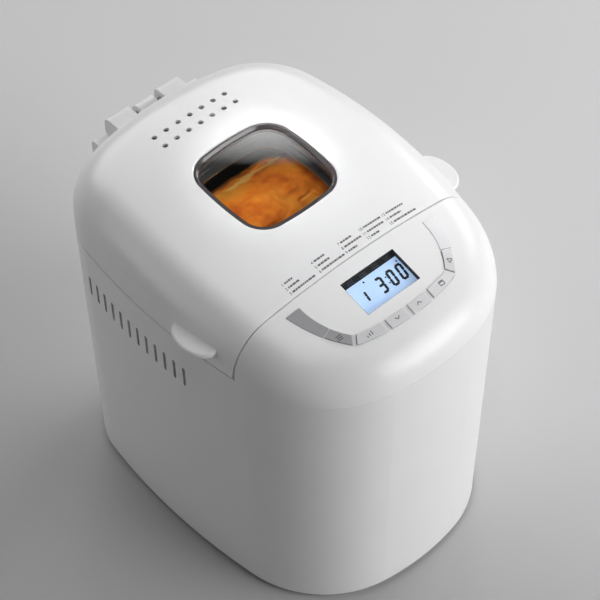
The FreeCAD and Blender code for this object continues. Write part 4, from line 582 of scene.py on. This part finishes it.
def marks(name, strokes, wide, thick, square, ink):
    """Flat marks from strokes given as x, y, turn in degrees and span, in millimetres on a plane."""
    points = [(x / 1000, y / 1000, 0) for x, y, _, _ in strokes]
    values = {"turn": [math.radians(stroke[2]) for stroke in strokes],
              "span": [stroke[3] / 1000 for stroke in strokes]}
    return made_by(mark_tree, name, points, values, Wide=wide / 1000, Thick=thick / 1000, Square=square,
                   Ink=ink)


# The seven bars of a digit, as x, y and turn for a digit two units high and one wide
BARS = {"top": (0, 1, 0), "middle": (0, 0, 0), "bottom": (0, -1, 0), "upper_left": (-0.5, 0.5, 90),
        "upper_right": (0.5, 0.5, 90), "lower_left": (-0.5, -0.5, 90), "lower_right": (0.5, -0.5, 90)}
DIGITS = {"0": "top bottom upper_left upper_right lower_left lower_right", "1": "upper_right lower_right",
          "3": "top middle bottom upper_right lower_right"}
CELL_FACE, INK_THICK = -5.9, 0.05
LEAN, BAR_LAP, BAR_SQUARE, DOT_SQUARE = 0.12, 0.55, 0.72, 0.6


def digit(sign, x, y, wide, high):
    """Strokes of one leaning digit whose middle is at x, y."""
    strokes = []
    for across, along, turn in (BARS[bar] for bar in DIGITS[sign].split()):
        rise = along * high / 2
        span = high / 2 if turn else wide
        turn = turn and turn - math.degrees(math.atan(LEAN))
        strokes.append((x + across * wide + rise * LEAN, y + rise, turn, span + BAR_LAP))
    return strokes


TIME_Y, TIME_WIDE, TIME_HIGH, TIME_BAR = -1.9, 4.3, 12.0, 2.1
PROGRAMME_PLACE, PROGRAMME_SIZE, PROGRAMME_BAR = (-16.2, -2.5), (3.2, 8.0), 1.9
DOTS, DOT_WIDE = [(7.4, 1.4, 0, 1.3), (6.9, -3.9, 0, 1.3), (-8.9, 7.8, 0, 1.9), (23.2, 7.0, 0, 1.4)], 1.4
strokes = [stroke for sign, x in (("3", 0.6), ("0", 11.4), ("0", 20.6))
           for stroke in digit(sign, x, TIME_Y, TIME_WIDE, TIME_HIGH)]
clock = marks("display_time", strokes, TIME_BAR, INK_THICK, BAR_SQUARE, screen_ink)
programme = marks("display_programme", digit("1", *PROGRAMME_PLACE, *PROGRAMME_SIZE), PROGRAMME_BAR,
                  INK_THICK, BAR_SQUARE, screen_ink)
dots = marks("display_dots", DOTS, DOT_WIDE, INK_THICK, DOT_SQUARE, screen_ink)
for piece in (clock, programme, dots):
    piece.data.transform(panel @ Matrix.Translation((0, 0, (CELL_FACE + INK_THICK) / 1000)))
    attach(piece, "base")

EDGE_SOFT = 0.00002


def plates(name, boxes, material):
    """One mesh of flat plates with softened edges, from their two corners in millimetres on the panel."""
    shape = bmesh.new()
    for low, high in boxes:
        middle = (Vector(low) + Vector(high)) / 2000
        size = (Vector(high) - Vector(low)) / 1000
        bmesh.ops.create_cube(shape, size=1,
                              matrix=Matrix.Translation(middle) @ Matrix.Diagonal((*size, 1)))
    bmesh.ops.bevel(shape, geom=shape.edges, offset=EDGE_SOFT, segments=1, affect="EDGES")
    shape.transform(panel)
    mesh = bpy.data.meshes.new(name)
    shape.to_mesh(mesh)
    shape.free()
    mesh.materials.append(material)
    return show(name, mesh)


# Four bars of print on the cell leave its picture open, and four upright strips darken the cover's edges
MASK_Z, EDGE_Z = (CELL_FACE + 0.02, CELL_FACE + 0.12), (-3.5, -0.8)
BAR_LOW, OPEN_X, OPEN_LEFT, OPEN_Y, OUT_X, OUT_Y = 10.6, 25.5, 26.1, 15.4, 27.6, 16.7
IN_X, IN_Y, RIM_X, RIM_Y = 26.05, 15.25, 26.27, 15.47
PRINT_BARS = ((-OUT_X, BAR_LOW, OUT_X, OUT_Y), (OPEN_X, -OUT_Y, OUT_X, BAR_LOW),
              (-OUT_X, -OUT_Y, -OPEN_LEFT, BAR_LOW), (-OPEN_LEFT, -OUT_Y, OPEN_X, -OPEN_Y))
EDGE_STRIPS = ((IN_X, -RIM_Y, RIM_X, RIM_Y), (-RIM_X, -RIM_Y, -IN_X, RIM_Y),
               (-IN_X, IN_Y, IN_X, RIM_Y), (-IN_X, -RIM_Y, IN_X, -IN_Y))
mask = plates("display_mask", [((left, near, bottom), (right, far, top))
                               for bars, (bottom, top) in ((PRINT_BARS, MASK_Z), (EDGE_STRIPS, EDGE_Z))
                               for left, near, right, far in bars], screen_ink)
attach(mask, "base")

# Grey ink of the small marks on the mask: matt, hardly paler than the mask itself
grey_ink = mottled("grey_ink", "46484d", "3b3d42", 2, (0.5, 0.65), 0.5, 0.002)
LEGEND_LINES, LEGEND_WORDS = (14.0, 12.2), ((-17.5, 6.0), (-5.0, 6.5), (7.0, 6.0), (19.0, 5.5))
legend = marks("display_legend", [(x, y, 0, span) for x, span in LEGEND_WORDS for y in LEGEND_LINES],
               0.7, 0.04, 1.0, grey_ink)
legend.data.transform(panel @ Matrix.Translation((0, 0, (MASK_Z[1] + 0.03) / 1000)))
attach(legend, "base")


def clear_pane(name, tint, gloss, coat, bend):
    """Glass that lets the lamps through to what is behind it: tint, roughness, coat and refractive index."""
    material, tree, shader, place = start_material(name)
    haze = add_node(tree, "ShaderNodeTexNoise", {"Scale": per_metre(12), "Detail": 2.0},
                    {"Vector": place}).outputs[0]
    soft = add_node(tree, "ShaderNodeMapRange", {"To Min": gloss[0], "To Max": gloss[1]},
                    {0: haze}).outputs[0]
    shader.inputs["Base Color"].default_value = linear(tint)
    shader.inputs["Transmission Weight"].default_value = 1.0
    shader.inputs["Coat Weight"].default_value = coat
    shader.inputs["IOR"].default_value = bend
    shader.inputs["Coat Roughness"].default_value = 0.0
    tree.links.new(soft, shader.inputs["Roughness"])
    lamp = add_node(tree, "ShaderNodeLightPath").outputs["Is Shadow Ray"]
    clear = add_node(tree, "ShaderNodeBsdfTransparent", {"Color": linear(tint)}).outputs[0]
    mix = add_node(tree, "ShaderNodeMixShader", {}, {0: lamp, 1: shader.outputs[0], 2: clear})
    tree.links.new(mix.outputs[0], tree.nodes["Material Output"].inputs["Surface"])
    return material


# Moulded polycarbonate: water-clear and glossy, with a trace of moulding haze
clear_polycarbonate = clear_pane("clear_polycarbonate", "f8fafc", (0.0, 0.006), 0.0, 1.5)
dress(clear_polycarbonate, "display_lens")

# Button strip
# Two plain trims and six push buttons follow a U round the display, each moulded and then sprayed silver.
# A small printed sign on every button says what it does, and thin silver caps lie on the posts between.

# Silver paint on ABS: fine metal flake in a satin lacquer
silver_paint = mottled("silver_paint", "dadadc", "cdcdd0", 1.0, (0.32, 0.42), 0.4, 0.003, 0.7)
dress(silver_paint, "strip_trims", "menu_button", "start_button")
# Pale silver paint on ABS: the same lacquer with less flake, made paler as a painted highlight where the
# bottom row of buttons catches the light
silver_paint_painted_highlight = mottled("silver_paint_painted_highlight", "eeeeef", "e4e4e6", 1.0, (0.3, 0.4), 0.4, 0.003, 0.25)
BUTTONS = ("menu", "loaf_size", "time_down", "time_up", "crust", "start")
dress(silver_paint_painted_highlight, *(name + "_button" for name in BUTTONS[1:5]))

# Dark grey pad-print ink: matt, a little thinner in places
pad_ink = mottled("pad_print_ink", "6c6c6f", "5e5e61", 2, (0.5, 0.65), 0.5, 0.002)
SIGNS = {"menu": [(0, 1.6, 0, 5.0), (0, 0, 0, 5.0), (0, -1.6, 0, 5.0)],
         "loaf_size": [(-2.2, -0.9, 90, 1.6), (0, -0.4, 90, 2.6), (2.2, 0, 90, 3.6)],
         "time_down": [(-1.0, 0, -45, 3.0), (1.0, 0, 45, 3.0)],
         "time_up": [(-1.0, 0, 45, 3.0), (1.0, 0, -45, 3.0)],
         "crust": [(0, 1.7, 0, 4.4), (0, -1.7, 0, 4.4), (-2.1, 0, 90, 3.2), (2.1, 0, 90, 3.2),
                   (0, 0.8, 0, 3.0)],
         "start": [(-1.4, 0, 90, 4.0), (0.4, 1.0, -30, 4.0), (0.4, -1.0, 30, 4.0)]}
SIGN_WIDE, SIGN_THICK, SIGN_SQUARE = 0.7, 0.08, 0.9
BUTTON_PROUD, PRINT = 0.0009, 0.00003


def crown_sag(x, y):
    """How far the domed top lies below the panel's plane here."""
    return x ** 2 / (2 * CROWN_ACROSS) + y ** 2 / (2 * CROWN_ALONG)


for name in BUTTONS:
    low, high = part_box(name + "_button")
    centre = panel.inverted() @ ((low + high) / 2)
    sign = marks(name + "_sign", SIGNS[name], SIGN_WIDE, SIGN_THICK, SIGN_SQUARE, pad_ink)
    for vert in sign.data.vertices:
        x, y = vert.co.x + centre.x, vert.co.y + centre.y
        vert.co = (x, y, vert.co.z + BUTTON_PROUD + PRINT - crown_sag(x, y))
    sign.data.transform(panel)
    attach(sign, name + "_key")
POSTS = [(-48.1, -24.8, 54, 9.4), (-21.4, -30.0, 90, 8.6), (0, -31.05, 90, 8.6), (21.4, -30.0, 90, 8.6),
         (48.1, -24.8, 126, 9.4)]
POST_WIDE, CAP_THICK, CAP_LIFT = 2.2, 0.1, 0.00008
# The caps take the paler silver too, with its painted highlight
caps = marks("post_caps", POSTS, POST_WIDE, CAP_THICK, 1.0, silver_paint_painted_highlight)
for vert in caps.data.vertices:
    vert.co.z += CAP_LIFT - crown_sag(vert.co.x, vert.co.y)
caps.data.transform(panel)
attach(caps, "base")

# Lid and hinge
# The lid is a domed white moulding with two finger tabs, two rows of steam holes and two hinge blocks.
# It turns on one steel pin, held by the knuckle between the blocks, and two stops stand beside it.
dress(glossy_white_abs, "lid_shell", "lid_tabs", "hinge_knuckle", "lid_stops")
dress(turned_steel, "hinge_pin")

# Window
# A dark glossy ring is let into the lid and holds a pane of toughened glass.
# A second pane, of oven glass, sits below it in the liner.

# Polished black ABS: its colour is lifted to dark grey as a painted reflection of the room, with the faintest
# waviness
black_abs_painted_reflection = mottled("black_ABS_painted_reflection", "4f4b4d", "464244", 6, (0.16, 0.22), 3.0, 0.002)
dress(black_abs_painted_reflection, "window_frame")
# Toughened soda-lime glass: clear, with a sharp mirror on its face
toughened_glass = clear_pane("toughened_glass", "fcfdfc", (0.0, 0.004), 1.0, 1.5)
dress(toughened_glass, "window_glass")
# Oven glass under a film that takes its glare away: nothing but the loaf shows in it
bloomed_glass = clear_pane("bloomed_oven_glass", "fcfcfb", (0.0, 0.004), 0.0, 1.12)
dress(bloomed_glass, "inner_glass")

# Lid liner
# A dished steel plate closes the lid from below, with a soft silicone ring that meets the rim of the oven.

# Moulded silicone: grey, matt and slightly dusty
grey_silicone = mottled("grey_silicone", "8d8a87", "7d7a77", 3, (0.55, 0.7), 0.6, 0.01)
dress(aluminised_steel, "lid_liner")
dress(grey_silicone, "lid_seal")

# Programme list
# Fifteen numbered lines are printed in grey on the lid, in five columns in front of the window.
# Short bars stand for the words, each with its number before it.
COLUMNS = (-60.5, -31.5, -5.0, 18.0, 41.2)
LINES = (-64.1, -68.6, -73.1)
WORDS = ((11, 14, 25), (13, 14, 25), (14, 20, 12), (21, 20, 11), (20, 14, 25))
NUMBER_HIGH, FIGURE_SHARE, NUMBER_THICK = 2.5, 0.7, 0.00004
NUMBER_END, WORDS_START, LETTER_GAP, LAST_EXTRA = 2.4, 3.4, 0.45, 0.6
LETTERS_LEAST, LETTERS_MOST = 1.1, 3.2
LINE_WIDE, LINE_THICK = 1.5, 0.08
draw = random.Random(4)
strokes = []
number_marks = bmesh.new()
for column, (x, words) in enumerate(zip(COLUMNS, WORDS)):
    for line, (y, span) in enumerate(zip(LINES, words)):
        text = bpy.data.curves.new("number", "FONT")
        text.body = str(column * len(LINES) + line + 1)
        text.size = NUMBER_HIGH / (1000 * FIGURE_SHARE)
        text.extrude = NUMBER_THICK
        text.align_x = "RIGHT"
        carrier = bpy.data.objects.new("number", text)
        flat = bpy.data.meshes.new_from_object(carrier)
        flat.transform(Matrix.Translation(((x + NUMBER_END) / 1000, (y - NUMBER_HIGH / 2) / 1000, 0)))
        number_marks.from_mesh(flat)
        bpy.data.objects.remove(carrier)
        at = x + WORDS_START
        while at < x + span:
            part = min(draw.uniform(LETTERS_LEAST, LETTERS_MOST), x + span - at + LAST_EXTRA)
            strokes.append((at + part / 2, y, 0, part))
            at += part + LETTER_GAP
programme_list = marks("programme_list", strokes, LINE_WIDE, LINE_THICK, 1.0, pad_ink)
numbers = bpy.data.meshes.new("programme_numbers")
number_marks.to_mesh(numbers)
number_marks.free()
numbers.materials.append(pad_ink)
programme_numbers = show("programme_numbers", numbers)
for piece in (programme_list, programme_numbers):
    for vert in piece.data.vertices:
        vert.co.z += crown_height(vert.co.x, vert.co.y) + PRINT
    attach(piece, "lid")

# Stage
# A sheet of grey paper under soft studio lamps, paler towards the right and darker towards the front left as
# painted shade.
# The camera stands at the photograph's angle.
FLOOR = 4
floor_mesh = bpy.data.meshes.new("floor")
floor_mesh.from_pydata([(-FLOOR, -FLOOR, 0), (FLOOR, -FLOOR, 0), (FLOOR, FLOOR, 0), (-FLOOR, FLOOR, 0)], [],
                       [(0, 1, 2, 3)])
floor = show("floor", floor_mesh)
# Backdrop paper: matt, with painted shade from mid grey at the front left to pale grey at the right, standing
# in for the light falling off
paper_with_painted_shade, tree, shader, place = start_material("paper_with_painted_shade")
along = add_node(tree, "ShaderNodeSeparateXYZ", {}, {0: place}).outputs
painted_falloff = add_node(tree, "ShaderNodeMath", {"operation": "MULTIPLY_ADD", 1: 0.5},
                {0: along["Y"], 2: along["X"]}).outputs[0]
painted_falloff = add_node(tree, "ShaderNodeMapRange",
                {"From Min": -0.55, "From Max": 0.45, "interpolation_type": "SMOOTHSTEP"},
                {0: painted_falloff}).outputs[0]
shade = add_node(tree, "ShaderNodeMix", {"data_type": "RGBA", 6: linear("a3a3a4"), 7: linear("d8d7d8")},
                 {0: painted_falloff}).outputs[2]
tree.links.new(shade, shader.inputs["Base Color"])
shader.inputs["Roughness"].default_value = 0.85
floor_mesh.materials.append(paper_with_painted_shade)

PICTURE, SENSOR = 600, 36
AZIMUTH, ELEVATION, ROLL = math.radians(-41.91), math.radians(49.13), math.radians(-0.56)
FOCAL = 2388.8
DISTANCE = 1.8713
PRINCIPAL = (294.96, 309.53)
TARGET = Vector((0, -0.0118, 0.180))
back = Vector((math.sin(AZIMUTH) * math.cos(ELEVATION), -math.cos(AZIMUTH) * math.cos(ELEVATION),
               math.sin(ELEVATION)))
level = Vector((math.cos(AZIMUTH), math.sin(AZIMUTH), 0))
upright = back.cross(level)
right = level * math.cos(ROLL) + upright * math.sin(ROLL)
up = upright * math.cos(ROLL) - level * math.sin(ROLL)
camera = show("camera", bpy.data.cameras.new("camera"))
camera.data.sensor_width = SENSOR
camera.data.lens = FOCAL / PICTURE * SENSOR
camera.data.shift_x = (PICTURE / 2 - PRINCIPAL[0]) / PICTURE
camera.data.shift_y = (PRINCIPAL[1] - PICTURE / 2) / PICTURE
camera.matrix_world = (Matrix.Translation(TARGET + back * DISTANCE)
                       @ Matrix((right, up, back)).transposed().to_4x4())
bpy.context.scene.camera = camera


def softbox(name, place, aim, size, power, spread=180):
    """A rectangular lamp at a place, turned to its aim, with a grid that narrows its spread in degrees."""
    lamp = bpy.data.lights.new(name, "AREA")
    lamp.shape = "RECTANGLE"
    lamp.size, lamp.size_y = size
    lamp.energy = power
    lamp.spread = math.radians(spread)
    holder = show(name, lamp)
    holder.location = place
    holder.rotation_euler = (Vector(aim) - Vector(place)).to_track_quat("-Z", "Y").to_euler()


# Large lamps all round, a small one over the panel, one that the window mirrors, and two narrow ones for
# the lid and the loaf
MIDDLE = (0, 0, 0.2)
softbox("key_softbox", (0.7, -1.6, 0.95), MIDDLE, (1.2, 1.2), 17.5)
softbox("front_softbox", (0.95, -1.75, 0.55), MIDDLE, (1.2, 0.8), 9.8)
softbox("right_softbox", (1.6, 0.2, 1.15), MIDDLE, (0.9, 0.8), 11.8)
softbox("left_softbox", (-1.7, 0.9, 0.8), MIDDLE, (1.2, 1.0), 5.9)
softbox("back_softbox", (0.2, 1.9, 1.3), MIDDLE, (1.4, 1.0), 13.5)
softbox("top_softbox", (-0.42, -0.55, 2.2), MIDDLE, (0.9, 0.9), 2.0)
softbox("panel_softbox", (1.2, 0.0, 1.7), (0, 0, 0.25), (0.4, 0.4), 0.6)
softbox("window_softbox", (1.19, 1.34, 1.26), (0, 0.05, 0.3), (1.38, 1.38), 1.3, 38)
softbox("lid_softbox", (-0.35, -0.35, 1.5), (0.02, -0.01, 0.28), (0.16, 0.16), 0.032, 13)
softbox("loaf_spot", (-0.35, -0.35, 1.5), (0.012, 0.034, 0.285), (0.04, 0.04), 0.019, 5)
world = bpy.data.worlds.new("studio")
bpy.context.scene.world = world
world.use_nodes = True
sky = world.node_tree.nodes["Background"].inputs
sky["Color"].default_value = linear("ffffff")
sky["Strength"].default_value = 0.02
bpy.context.scene.view_settings.view_transform = "Standard"
